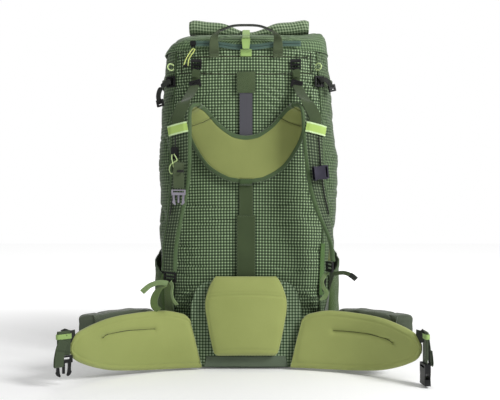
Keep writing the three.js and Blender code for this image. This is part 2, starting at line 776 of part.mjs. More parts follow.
function lowerWebbing(side) {
  const end = strapEnd(side);
  const top = end.at.clone().addScaledVector(end.down, lockLength + ladderLock.lip / 2 + 4 * clearance);
  const standoff = 1.5 * clearance + webbing.thickness / 2;
  const anchors = [lowerWeb.top, lowerWeb.bottom].map((z) => wallFrame(side, lowerWeb.angle, z, standoff));
  const [first, second] = anchors;
  const middle = top.clone().lerp(first.at, 0.5).add(vec(0, -webbing.thickness, 0));
  const width = lowerWeb.width;
  const turned = end.wide.clone().multiplyScalar(end.wide.dot(first.along) < 0 ? -1 : 1);
  const stations = [
    { at: top, along: turned, width },
    { at: middle, along: turned.clone().add(first.along), width },
    { at: first.at, along: first.along, width },
    { at: second.at, along: second.along, width },
  ];
  add(`lower_webbing_${side}`, strip(stations, webbing.thickness), webbingFabric);
}

// A place on the cord along the strap's face that the sternum slider runs on.
function railFrame(side, z) {
  const frame = strapFrame(side, z, rail.share);
  frame.at.addScaledVector(frame.face, strap.thickness / 2 + rail.standoff + rail.diameter / 2);
  return frame;
}

function sternumRail(side, body) {
  const steps = 8;
  const heights = Array.from({ length: steps + 1 }, (_, k) => mix(rail.top, rail.bottom, k / steps));
  const points = heights.map((z) => railFrame(side, z).at);
  add(`sternum_rail_${side}`, cord(points, rail.diameter, steps * 2), webbingFabric, body);
}

function sternumSlider(side, body) {
  const { width, length, thickness } = slider;
  const outline = roundedRectangle(width, length, width / 4);
  const shell = plate(outline, thickness, 4).rotateX(Math.PI / 2);
  const groove = rail.diameter + 4 * clearance;
  const depth = rail.diameter + 3 * clearance;
  const behind = (thickness + overrun - depth) / 2;
  const channel = block(groove, depth + overrun, length + 2 * overrun, 0, behind, 0);
  const slotHeight = webbing.thickness + 2 * clearance;
  const slot = block(width / 2, thickness + 2 * overrun, slotHeight, 0, 0, (width / 2 - length) / 2);
  const frame = railFrame(side, slider.height[side]);
  const mesh = add(`sternum_slider_${side}`, cut(shell, channel, slot), buckleBlack, body);
  mesh.quaternion.setFromRotationMatrix(alongStrap(frame, side));
  mesh.position.copy(sliderMiddle(frame));
}

// The middle of a slider, which stands a little further out than its cord.
function sliderMiddle(frame) {
  const back = rail.diameter / 2 + clearance;
  return frame.at.clone().addScaledVector(frame.face, slider.thickness / 2 - back);
}

// Side-release buckles

// One sprung arm of the plug, from its root to its barb and back along its inside.
function plugArm(web) {
  const root = web * plugShares.width * armShares.root;
  const reach = web * plugShares.reach;
  const at = ([across, down]) => [root * across, -reach * down];
  const { start, neck, barb, tip, inside, end } = armOutlineShares;
  const outline = new THREE.Shape();
  outline.moveTo(...at(start));
  outline.quadraticCurveTo(...neck.flatMap(at));
  outline.lineTo(...at(barb));
  outline.quadraticCurveTo(...tip.flatMap(at));
  outline.lineTo(...at(inside));
  outline.quadraticCurveTo(...end.flatMap(at));
  return plate(outline, web * buckle.thicknessShare * armShares.thickness, 5).rotateX(Math.PI / 2);
}

// The plug: a frame for the webbing, a guide tongue and two sprung arms with barbs, pointing to -Z.
function plugSolid(web) {
  const thickness = web * buckle.thicknessShare;
  const frameHeight = web * plugShares.frame;
  const reach = web * plugShares.reach;
  const width = web * plugShares.width;
  const frame = block(width, thickness * armShares.frameThickness, frameHeight, 0, 0, -frameHeight / 2);
  const slotHeight = web * plugShares.slot;
  const slotDrop = web * plugShares.slotDrop;
  const slot = block(web + clearance, thickness + 2 * overrun, slotHeight, 0, 0, -slotDrop);
  const drop = overrun - frameHeight;
  const arms = [0, Math.PI].map((turn) => plugArm(web).rotateZ(turn).translate(0, 0, drop));
  const tongueHeight = reach * plugShares.tongue;
  const tongueDeep = thickness * armShares.tongueThickness;
  const tongue = block(slotHeight, tongueDeep, tongueHeight, 0, 0, drop - tongueHeight / 2);
  return join(cut(frame, slot), ...arms, tongue);
}

const socketThickness = (web) => web * buckle.thicknessShare + 2 * buckle.wall;

// The socket: a flat shell that takes the plug, with a window at each side and a bar for webbing.
function socketSolid(web) {
  const thickness = socketThickness(web);
  const [width, height] = [web * socketShares.width, web * socketShares.height];
  const side = socketSideShares.map(([across, down]) => [width * across, -height * down]);
  const [top, bend, waist, bulge, foot] = side;
  const left = ([x, z]) => [-x, z];
  const outline = new THREE.Shape();
  outline.moveTo(...left(top));
  outline.quadraticCurveTo(...left(bend), ...left(waist));
  outline.quadraticCurveTo(...left(bulge), ...left(foot));
  outline.lineTo(...foot);
  outline.quadraticCurveTo(...bulge, ...waist);
  outline.quadraticCurveTo(...bend, ...top);
  const body = plate(outline, thickness, 5).rotateX(Math.PI / 2);
  const inner = thickness - 2 * buckle.wall;
  const depth = height * socketShares.mouthDepth;
  const mouth = block(web * socketShares.mouth, inner, depth + overrun, 0, 0, (overrun - depth) / 2);
  const openHeight = height * socketWindowShares.height;
  const window = block(width + 2 * overrun, inner, openHeight, 0, 0, -height * socketWindowShares.place);
  const slotPlace = height * socketShares.slotPlace;
  const slot = block(web, thickness + 2 * overrun, web * socketShares.slot, 0, 0, -slotPlace);
  return cut(body, mouth, window, slot);
}

// The sternum strap, hanging from its left slider, with the plug at its lower end.
function sternumStrap(body) {
  const frame = railFrame("left", slider.height.left);
  const middle = sliderMiddle(frame);
  const top = middle.z - slider.length / 2 - 3 * clearance;
  const y = middle.y - slider.thickness / 2;
  const places = sternumShares.map(([down, aside]) =>
    vec(middle.x + sternum.sway * aside, y - sternum.lean * aside, top - sternum.drop * down),
  );
  const stations = places.map((at) => ({ at, along: vec(1, 0, 0), width: webbing.medium }));
  add("sternum_webbing", strip(stations, webbing.thickness), webbingFabric, body);
  const plug = add("sternum_plug", plugSolid(buckle.sternumWeb), buckleGrey, body);
  plug.position.copy(places.at(-1)).add(vec(0, 0, -clearance));
}

function sternumSocket(body) {
  const frame = railFrame("right", slider.height.right);
  const thickness = socketThickness(buckle.sternumWeb);
  const height = socketHeight(buckle.sternumWeb);
  const socket = add("sternum_socket", socketSolid(buckle.sternumWeb), buckleBlack, body);
  const turned = alongStrap(frame, "right").multiply(new THREE.Matrix4().makeRotationY(-Math.PI / 2));
  socket.quaternion.setFromRotationMatrix(turned);
  const out = (slider.thickness + thickness) / 2 + 1.5 * clearance;
  socket.position.copy(sliderMiddle(frame)).addScaledVector(frame.face, out);
  socket.position.addScaledVector(frame.wide, -height / 2 - sternum.socketInset);
}

// Hip belt

function lumbarPad() {
  const out = coreOut + beltCore.thickness + clearance + lumbar.thickness / 2;
  const rings = lumbar.heightShares.map((share, i) => {
    const z = lumbar.bottom + lumbar.height * share;
    const half = (lumbar.width / 2) * lumbar.widthShares[i];
    const thick = lumbar.thickness * lumbar.thicknessShares[i];
    return ring(vec(-half, outwards(out), z), vec(half, outwards(out), z), vec(0, -1, 0), thick, 16, 0.42);
  });
  add("lumbar_pad", loft(rings), foamLining);
}

const coreOut = stayFront;

// Each half of the belt is an arc about one upright axis, so its pocket's zip can follow it.
const finRadius = fin.length / (fin.endAngle - fin.startAngle);
const finOut = coreOut + beltCore.thickness + clearance - fin.seat
  + (fin.thickness / 2) * fin.thicknessShares[0];

function finCentre(side) {
  const sign = sideSign[side];
  const x = sign * (fin.innerAcross - finRadius * Math.sin(fin.startAngle));
  return vec(x, outwards(finOut) - finRadius * Math.cos(fin.startAngle), 0);
}

// A point of the belt at a distance along it, at a height, and behind its middle by a distance.
function finPoint(side, along, z, behind = 0) {
  const angle = fin.startAngle + along / finRadius;
  const radius = finRadius + behind;
  const centre = finCentre(side);
  return vec(centre.x + sideSign[side] * radius * Math.sin(angle), centre.y + radius * Math.cos(angle), z);
}

function finNormal(side, along) {
  const angle = fin.startAngle + along / finRadius;
  return vec(-sideSign[side] * Math.sin(angle), -Math.cos(angle), 0);
}

function hipFin(side, body) {
  const rings = fin.lowerShares.map(([lowerAlong, lowerHeight], i) => {
    const [upperAlong, upperHeight] = fin.upperShares[i];
    const low = finPoint(side, fin.length * lowerAlong, fin.bottom + fin.height * lowerHeight);
    const high = finPoint(side, fin.length * upperAlong, fin.bottom + fin.height * upperHeight);
    const middle = (fin.length * (lowerAlong + upperAlong)) / 2;
    return ring(low, high, finNormal(side, middle), fin.thickness * fin.thicknessShares[i], 12);
  });
  add(`hip_fin_${side}`, loft(rings), foamLining, body);
}

function hipPocketSolid(side, body) {
  const rings = hipPocket.stationShares.map((share, i) => {
    const along = mix(hipPocket.start, hipPocket.end, share);
    const thick = hipPocket.thickness * hipPocket.thicknessShares[i];
    const behind = fin.thickness / 2 + clearance + thick / 2;
    const [bottom, top] = [hipPocket.bottomShares, hipPocket.topShares].map((shares) =>
      mix(hipPocket.bottom, hipPocket.top, shares[i]),
    );
    const low = finPoint(side, along, bottom, behind);
    const high = finPoint(side, along, top, behind);
    return ring(low, high, finNormal(side, along), thick, 12, 0.35);
  });
  add(`hip_pocket_${side}`, loft(rings), darkFabric, body);
}

// The zip slider stands on the pocket's outer face, near its inner end.
function hipZipSlider(side, body) {
  const behind = fin.thickness / 2 + 1.25 * clearance + hipPocket.thickness + hipSlider.thickness / 2;
  const angle = fin.startAngle + hipPocket.start / finRadius + hipSlider.startAngle;
  const along = (angle - fin.startAngle) * finRadius;
  const { length, width, thickness, drop } = hipSlider;
  const body3d = plate(roundedRectangle(length, width, width / 3), thickness, 3);
  const pull = new THREE.Shape();
  pull.moveTo(-width / 3, 0);
  pull.lineTo(width / 3, 0);
  pull.lineTo(width / 4, -drop);
  pull.lineTo(-width / 4, -drop);
  const shape = join(body3d, plate(pull, thickness / 2)).rotateX(Math.PI / 2);
  const mesh = add(`hip_zip_slider_${side}`, shape, buckleBlack, body);
  mesh.position.copy(finPoint(side, along, hipSlider.height, behind));
  mesh.rotation.z = sideSign[side] * -angle;
}

// The webbing at the end of each half: out of the pad, over, and down to its half of the buckle.
function beltEnd(side, body, endHeight, buckleHeight) {
  const angle = beltTip.angle[side];
  const heading = vec(sideSign[side] * Math.cos(fin.endAngle), -Math.sin(fin.endAngle), 0);
  const at = finPoint(side, fin.length, 0).addScaledVector(heading, beltTip.reach[side]);
  const bottom = endHeight + buckleHeight + clearance;
  const stations = [beltTip.top, mix(beltTip.top, bottom, 0.5), bottom].map((z) => ({
    at: at.clone().setZ(z),
    along: vec(sideSign[side] * Math.cos(angle), -Math.sin(angle), 0),
    width: webbing.wide,
    thick: webbing.thickness * 2,
  }));
  add(`belt_webbing_${side}`, strip(stations, webbing.thickness), webbingFabric, body);
  return { at, angle };
}

const plugHeight = (web) => web * (plugShares.frame + plugShares.reach) - overrun;
const socketHeight = (web) => web * socketShares.height;

function beltPlug(body) {
  const height = plugHeight(buckle.beltWeb);
  const { at, angle } = beltEnd("left", body, beltTip.plugEnd, height);
  const plug = add("belt_plug", plugSolid(buckle.beltWeb), buckleBlack, body);
  plug.position.copy(at).setZ(beltTip.plugEnd + height);
  plug.rotation.z = angle;
}

function beltSocket(body) {
  const height = socketHeight(buckle.beltWeb);
  const { at, angle } = beltEnd("right", body, beltTip.socketEnd, height);
  const socket = add("belt_socket", socketSolid(buckle.beltWeb), buckleBlack, body);
  socket.position.copy(at).setZ(beltTip.socketEnd);
  socket.rotation.set(Math.PI, 0, 0);
  socket.rotation.order = "ZYX";
  socket.rotation.z = -angle;
}

function beltCorePlate() {
  const outline = new THREE.Shape();
  const right = beltCore.outline;
  const round = [...right, ...right.map(([x, z]) => [-x, z]).reverse()];
  round.forEach(([x, z], i) => (i ? outline.lineTo(x, z) : outline.moveTo(x, z)));
  const geometry = plate(outline, beltCore.thickness).rotateX(Math.PI / 2);
  add("belt_core", geometry, darkFabric).position.set(0, outwards(coreOut + beltCore.thickness / 2), 0);
}

// Pockets on the walls: sewn down at the sides and the bottom, open at the top.
function wallPocket(name, size, from, to, topAt, columns, rows, finish) {
  const side = (extra) =>
    Array.from({ length: rows + 1 }, (_, i) =>
      Array.from({ length: columns + 1 }, (_, j) => {
        const [u, v] = [j / columns, i / rows];
        const z = mix(size.bottom, topAt(u), v);
        const round = Math.sin(Math.PI * u) ** 0.6;
        const rise = THREE.MathUtils.smoothstep(v, 0, size.closeShare);
        const bulge = size.bulge * round * rise * mix(1, size.topShare, v);
        return bagPoint(mix(from, to, u), z, pocketGap + bulge + extra);
      }),
    );
  add(name, sheet(side(size.wall), side(0)), finish);
}

function pockets() {
  const round = 2 * Math.PI;
  const { back, front, backTop, frontTop } = sidePocket;
  const rising = (u) => mix(backTop, frontTop, u);
  wallPocket("side_pocket_right", sidePocket, back, front, rising, 8, 8, plainFabric);
  const [from, to] = [round - front, round - back];
  wallPocket("side_pocket_left", sidePocket, from, to, (u) => rising(1 - u), 8, 8, plainFabric);
  const level = () => frontPocket.top;
  wallPocket("front_pocket", frontPocket, frontPocket.from, frontPocket.to, level, 10, 8, darkFabric);
}

// The top of the bag

function zip() {
  const columns = 10;
  const side = (out) =>
    [-0.5, 0.5].map((row) =>
      Array.from({ length: columns + 1 }, (_, j) => {
        const x = mix(-topZip.length / 2, topZip.length / 2, j / columns);
        const z = topZipHeight + topZip.width * row;
        return vec(x, outwards(out), z);
      }),
    );
  add("top_zip", sheet(side(clearance + topZip.thickness), side(clearance)), darkFabric);
}

function zipSlider(body) {
  const { length, width, thickness } = topSlider;
  const shell = plate(roundedRectangle(length, width, width / 3), thickness, 3);
  const { pullWidth, pullDrop, sunk, eyeShare } = topSlider;
  const pull = block(pullWidth, pullDrop, thickness / 2, 0, sunk - (width + pullDrop) / 2, 0);
  const eyePlace = width / 2 + pullDrop * eyeShare;
  const eye = block(pullWidth / 2, pullDrop / 3, thickness + overrun, 0, -eyePlace, 0);
  const shape = cut(join(shell, pull), eye).rotateX(Math.PI / 2);
  const out = 2 * clearance + topZip.thickness + thickness / 2;
  const mesh = add("top_zip_slider", shape, buckleBlack, body);
  mesh.position.set(-topSliderStart, outwards(out), topZipHeight);
}

// The pull cord: a narrow loop that hangs from the slider's eye, with a moulded end.
function zipPull(body) {
  const out = 2 * clearance + topZip.thickness + topSlider.thickness / 2;
  const tabEnd = topZipHeight - topSlider.width / 2 - topSlider.pullDrop + topSlider.sunk;
  const top = tabEnd - clearance - pullCord.diameter / 2;
  const { spread, drop, diameter, endLength, endDiameter } = pullCord;
  const at = ([across, down]) => vec(-topSliderStart + spread * across, outwards(out), top - drop * down);
  const shoulder = pullCordShares.shoulder;
  const points = [
    ...pullCordShares.down.map(at),
    at([-shoulder, diameter / drop]),
    at([0, 0]),
    at([shoulder, diameter / drop]),
    ...pullCordShares.up.map(at),
  ];
  const middle = points[0].clone().add(points.at(-1)).multiplyScalar(0.5);
  const end = new THREE.CylinderGeometry(endDiameter / 2, endDiameter / 2, endLength, 8);
  end.rotateZ(Math.PI / 2).translate(...middle);
  add("top_zip_pull", join(cord(points, diameter, 26), end), cordYellow, body);
}

// The carrying loop: flat where it is sewn on, turned on edge across the middle.
function haulLoop(body) {
  const { across, bridge, out } = haul;
  const thick = webbing.thickness * haul.thicknessShare;
  const low = clearance + thick / 2;
  const rise = haul.top - haul.shoulder;
  const fall = backFallAt(across - webbing.medium / 2, haul.base);
  const station = (x, z, away, along) => ({ at: vec(x, outwards(away) + fall, z), along });
  const half = (sign) => [
    station(sign * across, haul.base, low, vec(sign, 0, 0)),
    station(sign * across, haul.sewn, low, vec(sign, 0, 0)),
    station(sign * across, haul.over, bridge, vec(sign, 0, 0)),
    ...haul.archShares.map(([x, up, away, turn]) => {
      const along = vec(sign * (1 - turn), -turn, 0);
      return station(sign * across * x, haul.shoulder + rise * up, bridge + out * away, along);
    }),
  ];
  const middle = station(0, haul.top, bridge + out, vec(0, -1, 0));
  const stations = [...half(-1), middle, ...half(1).reverse()];
  for (const each of stations) each.width = webbing.medium * haul.widthShare;
  add("haul_loop", strip(stations, thick), webbingFabric, body);
}

const rollBottom = bag.height + collar.height + 2 * clearance;
const rollY = outwards(collar.mouthOut);

function rollTop(body) {
  const rings = roll.stationShares.map((share, i) => {
    const x = roll.offset + (roll.length / 2) * share;
    const height = roll.height * roll.heightShares[i];
    const half = (roll.depth / 2) * roll.depthShares[i];
    const z = rollBottom + roll.lift * roll.liftShares[i] + height / 2;
    return ring(vec(x, rollY - half, z), vec(x, rollY + half, z), vec(0, 0, 1), height, 12, 0.6);
  });
  add("roll_top", loft(rings), gridFabric, body);
}

// The strap over the roll, and the hook that holds it to the tab on the bag's back.
function strapOverRoll(body) {
  const thick = webbing.thickness;
  const half = roll.depth / 2;
  const middleShare = roll.heightShares[Math.floor(roll.heightShares.length / 2)];
  const top = rollBottom + roll.height * middleShare;
  const [back, front] = [rollY - half, rollY + half];
  const hookY = outwards(hook.out + hook.thickness / 2);
  const stations = [
    { at: vec(0, hookY, hook.top + 2 * clearance) },
    { at: vec(0, mix(hookY, back, topStrap.foldShare), mix(hook.top, top, topStrap.riseShare)) },
    { at: vec(0, back, top + 2 * thick) },
    { at: vec(0, rollY, top + 2.4 * thick) },
    { at: vec(0, front, top + 1.6 * thick) },
    { at: vec(0, front + 3 * thick, rollBottom + 4.5 * thick) },
  ];
  for (const station of stations) Object.assign(station, { along: vec(1, 0, 0), width: webbing.narrow });
  add("top_strap", strip(stations, thick), limeFabric, body);
  const outline = new THREE.Shape();
  outline.moveTo(-hook.width / 2, 0);
  outline.lineTo(hook.width / 2, 0);
  outline.lineTo(hook.endWidth / 2, -hook.height);
  outline.lineTo(-hook.endWidth / 2, -hook.height);
  const [jawDeep, jawHigh] = [hook.thickness * hookJawShares.depth, hook.height * hookJawShares.height];
  const jaw = block(hook.width, jawDeep, jawHigh, 0, hook.thickness / 3, -hook.height * hookJawShares.place);
  const shape = cut(plate(outline, hook.thickness).rotateX(Math.PI / 2), jaw);
  add("top_hook", shape, limeFabric, body).position.set(0, hookY, hook.top - clearance);
}

// The sewn tab whose lifted edge holds the hook.
function tabForHook() {
  const low = clearance + hookTab.thickness / 2;
  const stations = [
    [hookTab.bottom, low],
    [hookTab.bend, low],
    [mix(hookTab.bend, hookTab.top, hookTab.liftShare), hookTab.out * hookTab.awayShare],
    [hookTab.top, hookTab.out],
  ].map(([z, out]) => ({ at: vec(0, outwards(out), z), along: vec(1, 0, 0), width: hookTab.width }));
  add("hook_tab", strip(stations, hookTab.thickness), limeFabric);
}

// The front end of the strap: it lies on the top of the bag and runs down the front.
function frontStrap() {
  const standoff = 2.4 * clearance + webbing.thickness / 2;
  const rows = 6;
  const over = collar.riseShares.map((_, row) => collarPoint(row, Math.PI, -standoff)).reverse();
  const down = Array.from({ length: rows }, (_, i) =>
    bagPoint(Math.PI, bag.height - (topStrap.frontDrop * (i + 0.3)) / rows, standoff),
  );
  over[0].y += 4 * standoff;
  const stations = [...over, ...down].map((at) => ({ at, along: vec(1, 0, 0), width: webbing.narrow }));
  for (const station of stations.slice(0, over.length - 1)) station.at.z += standoff;
  add("front_strap", strip(stations, webbing.thickness), webbingFabric);
}

// Side straps that draw the bag in, each with a buckle near the back seam.
function compressionStraps() {
  const steps = 8;
  for (const side of ["left", "right"]) {
    const z = compression.height;
    const turn = compression.buckleAngle[side];
    const buckleSpan = (webbing.narrow * compression.gapShare) / halfWidthAt(z, side);
    const stations = Array.from({ length: steps + 1 }, (_, k) => {
      const along = mix(turn + buckleSpan, compression.endAngle, k / steps);
      const { at } = wallFrame(side, along, z, pocketGap + clearance + webbing.thickness / 2);
      return { at, along: vec(0, 0, 1), width: webbing.narrow };
    });
    add(`compression_strap_${side}`, strip(stations, webbing.thickness), webbingFabric);
    const { at, along, out } = wallFrame(side, turn, z, pocketGap + clearance);
    const mesh = add(`compression_buckle_${side}`, ladderLockSolid(webbing.narrow), buckleBlack);
    const into = out.clone().negate();
    into.addScaledVector(along, -into.dot(along)).normalize();
    const across = into.clone().cross(along);
    mesh.quaternion.setFromRotationMatrix(new THREE.Matrix4().makeBasis(across, into, along));
    mesh.position.copy(at);
  }
}

function gearLoops() {
  const { radius, height, angle, diameter } = gearLoop;
  const steps = 7;
  for (const side of ["left", "right"]) {
    const { at, out } = wallFrame(side, angle[side], height, diameter / 2);
    const opening = gearLoop.openShare * 2 * Math.PI;
    const nearest = Math.cos(opening);
    const points = Array.from({ length: steps + 1 }, (_, k) => {
      const turn = mix(-opening, opening, k / steps);
      const rise = vec(0, 0, radius * gearLoop.flatShare * Math.sin(turn));
      return at.clone().addScaledVector(out, radius * (Math.cos(turn) - nearest)).add(rise);
    });
    add(`gear_loop_${side}`, cord(points, diameter, 14), cordYellow);
  }
}

// Assembly

bagWalls();
basePanel();
bagCollar();
backFrame();
stayCovers();
shoulderYoke();
lumbarPad();
beltCorePlate();
pockets();
zip();
tabForHook();
frontStrap();
compressionStraps();
gearLoops();
for (const side of ["left", "right"]) {
  const strapGroup = new THREE.Group();
  pack.add(strapGroup);
  shoulderStrap(side, strapGroup);
  bandOver(side, strapGroup);
  strapAdjuster(side, strapGroup);
  sternumRail(side, strapGroup);
  sternumSlider(side, strapGroup);
  lifterBuckle(side);
  loadLifter(side);
  lowerWebbing(side);
  const finGroup = new THREE.Group();
  pack.add(finGroup);
  hipFin(side, finGroup);
  hipPocketSolid(side, finGroup);
  hipZipSlider(side, finGroup);
}
sternumStrap(pack);
sternumSocket(pack);
beltPlug(pack);
beltSocket(pack);
zipSlider(pack);
zipPull(pack);
haulLoop(pack);
rollTop(pack);
strapOverRoll(pack);

export default pack;
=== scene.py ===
import math

import bmesh
import bpy
import numpy as np
from mathutils import Matrix, Vector


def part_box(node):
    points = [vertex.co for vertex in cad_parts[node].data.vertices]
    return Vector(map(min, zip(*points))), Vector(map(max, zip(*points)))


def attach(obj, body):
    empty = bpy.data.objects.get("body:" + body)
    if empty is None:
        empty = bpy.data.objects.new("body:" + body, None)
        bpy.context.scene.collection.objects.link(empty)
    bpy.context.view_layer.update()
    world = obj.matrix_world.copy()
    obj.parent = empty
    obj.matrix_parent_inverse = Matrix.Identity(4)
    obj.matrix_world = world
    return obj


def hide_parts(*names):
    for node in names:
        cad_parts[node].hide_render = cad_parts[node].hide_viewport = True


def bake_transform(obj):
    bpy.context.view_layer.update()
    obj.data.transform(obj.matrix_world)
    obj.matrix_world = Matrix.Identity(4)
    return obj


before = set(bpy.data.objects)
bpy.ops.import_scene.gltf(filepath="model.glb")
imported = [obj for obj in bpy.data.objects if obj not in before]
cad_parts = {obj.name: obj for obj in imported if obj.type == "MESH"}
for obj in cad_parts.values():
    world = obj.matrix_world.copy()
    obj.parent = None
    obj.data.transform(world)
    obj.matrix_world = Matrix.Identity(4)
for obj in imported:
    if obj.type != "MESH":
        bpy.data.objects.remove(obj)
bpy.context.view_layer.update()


# Everything is in metres, in the pack's own frame: the harness side faces -Y, +X is to the right
# of someone who looks at it, and the pack stands on the floor at Z = 0.

bag = {
    "height": 0.622,
    "width": 0.376,
    "depth": 0.224,
    "squareness": 3.2,
    "heightShares": [0, 0.03, 0.1, 0.2, 0.37, 0.51, 0.66, 0.76, 0.85, 0.93, 1],
    "leftShares": [0.798, 0.862, 0.904, 0.926, 0.936, 0.952, 0.973, 0.941, 0.918, 0.899, 0.888],
    "rightShares": [0.798, 0.867, 0.92, 0.94, 0.963, 0.995, 1, 0.963, 0.944, 0.92, 0.897],
    "depthShares": [0.86, 0.9, 0.95, 0.98, 1, 1, 0.99, 0.97, 0.95, 0.92, 0.9],
    "backSeam": math.radians(48),
    "frontSeam": math.radians(132),
}
backPlane = -bag["depth"] * bag["depthShares"][0] / 2
sideSign = {"left": -1, "right": 1}
webbingThickness = 0.0016
narrowWebbing = 0.015
gap = 0.0004
view = {"sensor": 36, "lens": 59.04, "nearest": 0.05, "across": 0.0078, "away": 1.6, "height": 0.328}


def viewCamera():
    # level, straight at the harness, as far off as the photograph was taken
    data = bpy.data.cameras.new("camera")
    data.sensor_width = view["sensor"]
    data.lens = view["lens"]
    data.clip_start = view["nearest"]
    camera = bpy.data.objects.new("camera", data)
    camera.location = (view["across"], backPlane - view["away"], view["height"])
    camera.rotation_euler = (math.pi / 2, 0, 0)
    bpy.context.collection.objects.link(camera)
    bpy.context.scene.camera = camera


def softLight(name, place, target, size, power):
    data = bpy.data.lights.new(name, "AREA")
    data.shape = "RECTANGLE"
    data.size = size[0]
    data.size_y = size[1]
    data.energy = power
    light = bpy.data.objects.new(name, data)
    light.location = place
    aim = Vector(target) - Vector(place)
    light.rotation_euler = aim.to_track_quat("-Z", "Y").to_euler()
    bpy.context.collection.objects.link(light)


room = {
    "ambient": 0.22,
    "floor": 0.9,
    "floorHalf": 4.5,
    "glow": (0.10, 0.75),
    "glowReach": (0.3, 1.7),
    "key": {"place": (1.45, -1.30, 1.45), "target": (0, -0.05, 0.33), "size": (0.7, 0.7), "power": 43},
    "fill": {"place": (-1.6, -2.0, 1.0), "target": (0, 0, 0.3), "size": (1.6, 1.6), "power": 4},
    "top": {"place": (0.1, 0.2, 2.1), "target": (0, 0, 0.3), "size": (1.6, 1.6), "power": 12},
    "back": {"place": (-0.5, 2.2, 1.4), "target": (0, 0, 0.3), "size": (1.6, 1.6), "power": 14},
}


def studio():
    scene = bpy.context.scene
    scene.view_settings.view_transform = "Standard"
    world = bpy.data.worlds.new("paleRoom")
    scene.world = world
    world.use_nodes = True
    tree = world.node_tree
    background = tree.nodes["Background"]
    background.inputs["Color"].default_value = (1, 1, 1, 1)
    rays = tree.nodes.new("ShaderNodeLightPath")
    strength = tree.nodes.new("ShaderNodeMapRange")  # white to look at, softer as light
    strength.inputs["To Min"].default_value = room["ambient"]
    strength.inputs["To Max"].default_value = 1.0
    tree.links.new(rays.outputs["Is Camera Ray"], strength.inputs["Value"])
    tree.links.new(strength.outputs["Result"], background.inputs["Strength"])
    for name in ("key", "fill", "top", "back"):
        softLight(name + "Light", **room[name])
    floorMesh = bpy.data.meshes.new("floor")
    half = room["floorHalf"]
    corners = [(-half, -half, 0), (half, -half, 0), (half, half, 0), (-half, half, 0)]
    floorMesh.from_pydata(corners, [], [(0, 1, 2, 3)])
    floor = bpy.data.objects.new("floor", floorMesh)
    bpy.context.collection.objects.link(floor)
    pale = bpy.data.materials.new("paleFloor")
    pale.use_nodes = True
    surface = pale.node_tree.nodes["Principled BSDF"]
    surface.inputs["Base Color"].default_value = (room["floor"], room["floor"], room["floor"], 1)
    surface.inputs["Roughness"].default_value = 0.9
    surface.inputs["Emission Color"].default_value = (1, 1, 1, 1)
    place = pale.node_tree.nodes.new("ShaderNodeTexCoord")
    away = pale.node_tree.nodes.new("ShaderNodeVectorMath")
    away.operation = "LENGTH"
    glow = pale.node_tree.nodes.new("ShaderNodeMapRange")  # the floor glows, as painted light, more brightly further off from the pack
    glow.interpolation_type = "SMOOTHSTEP"
    glow.inputs["From Min"].default_value, glow.inputs["From Max"].default_value = room["glowReach"]
    glow.inputs["To Min"].default_value, glow.inputs["To Max"].default_value = room["glow"]
    pale.node_tree.links.new(place.outputs["Object"], away.inputs[0])
    pale.node_tree.links.new(away.outputs["Value"], glow.inputs["Value"])
    pale.node_tree.links.new(glow.outputs["Result"], surface.inputs["Emission Strength"])
    floorMesh.materials.append(pale)
    floor.location.z = -0.0005


# Shapes

def shareAt(share, positions, values):
    # a smooth value between the entries of a table of shares
    last = len(positions) - 1
    t = min(max(share, positions[0]), positions[last])
    i = 0
    while i < last - 1 and t > positions[i + 1]:
        i += 1

    def slope(k):
        low = max(k - 1, 0)
        high = min(k + 1, last)
        return (values[high] - values[low]) / (positions[high] - positions[low])

    span = positions[i + 1] - positions[i]
    u = (t - positions[i]) / span
    start = (2 * u**3 - 3 * u**2 + 1) * values[i] + (u**3 - 2 * u**2 + u) * span * slope(i)
    return start + (3 * u**2 - 2 * u**3) * values[i + 1] + (u**3 - u**2) * span * slope(i + 1)


def halfWidthAt(z, side):
    return bag["width"] / 2 * shareAt(z / bag["height"], bag["heightShares"], bag[side + "Shares"])


def halfDepthAt(z):
    return bag["depth"] / 2 * shareAt(z / bag["height"], bag["heightShares"], bag["depthShares"])


def power(value):
    return math.copysign(abs(value) ** (2 / bag["squareness"]), value)


def bagPoint(turn, z, standoff=0.0):
    # the turn is 0 at the middle of the back and a quarter turn at the right side
    side = "left" if math.sin(turn) < 0 else "right"
    halfWidth = halfWidthAt(z, side)
    halfDepth = halfDepthAt(z)
    x = (halfWidth + standoff) * power(math.sin(turn))
    y = backPlane + halfDepth - (halfDepth + standoff) * power(math.cos(turn))
    return Vector((x, y, z))


def bagRow(turns, z, standoff=0.0):
    # the same for many turns at one height; the standoff may differ from place to place
    sine = np.sin(turns)
    cosine = np.cos(turns)
    width = np.where(sine < 0, halfWidthAt(z, "left"), halfWidthAt(z, "right"))
    deep = halfDepthAt(z)
    bend = 2 / bag["squareness"]
    x = (width + standoff) * np.sign(sine) * np.abs(sine) ** bend
    y = backPlane + deep - (deep + standoff) * np.sign(cosine) * np.abs(cosine) ** bend
    return np.stack([x, y, np.full(len(turns), z)], axis=1)


def backFallAt(x, z):
    share = min(abs(x) / halfWidthAt(z, "left" if x < 0 else "right"), 1)
    return halfDepthAt(z) * (1 - (1 - share ** bag["squareness"]) ** (1 / bag["squareness"]))


def mix(a, b, t):
    return a + (b - a) * t


def smoothStep(low, high, value):
    t = np.clip((value - low) / (high - low), 0, 1)
    return t * t * (3 - 2 * t)


noiseGrids = {}


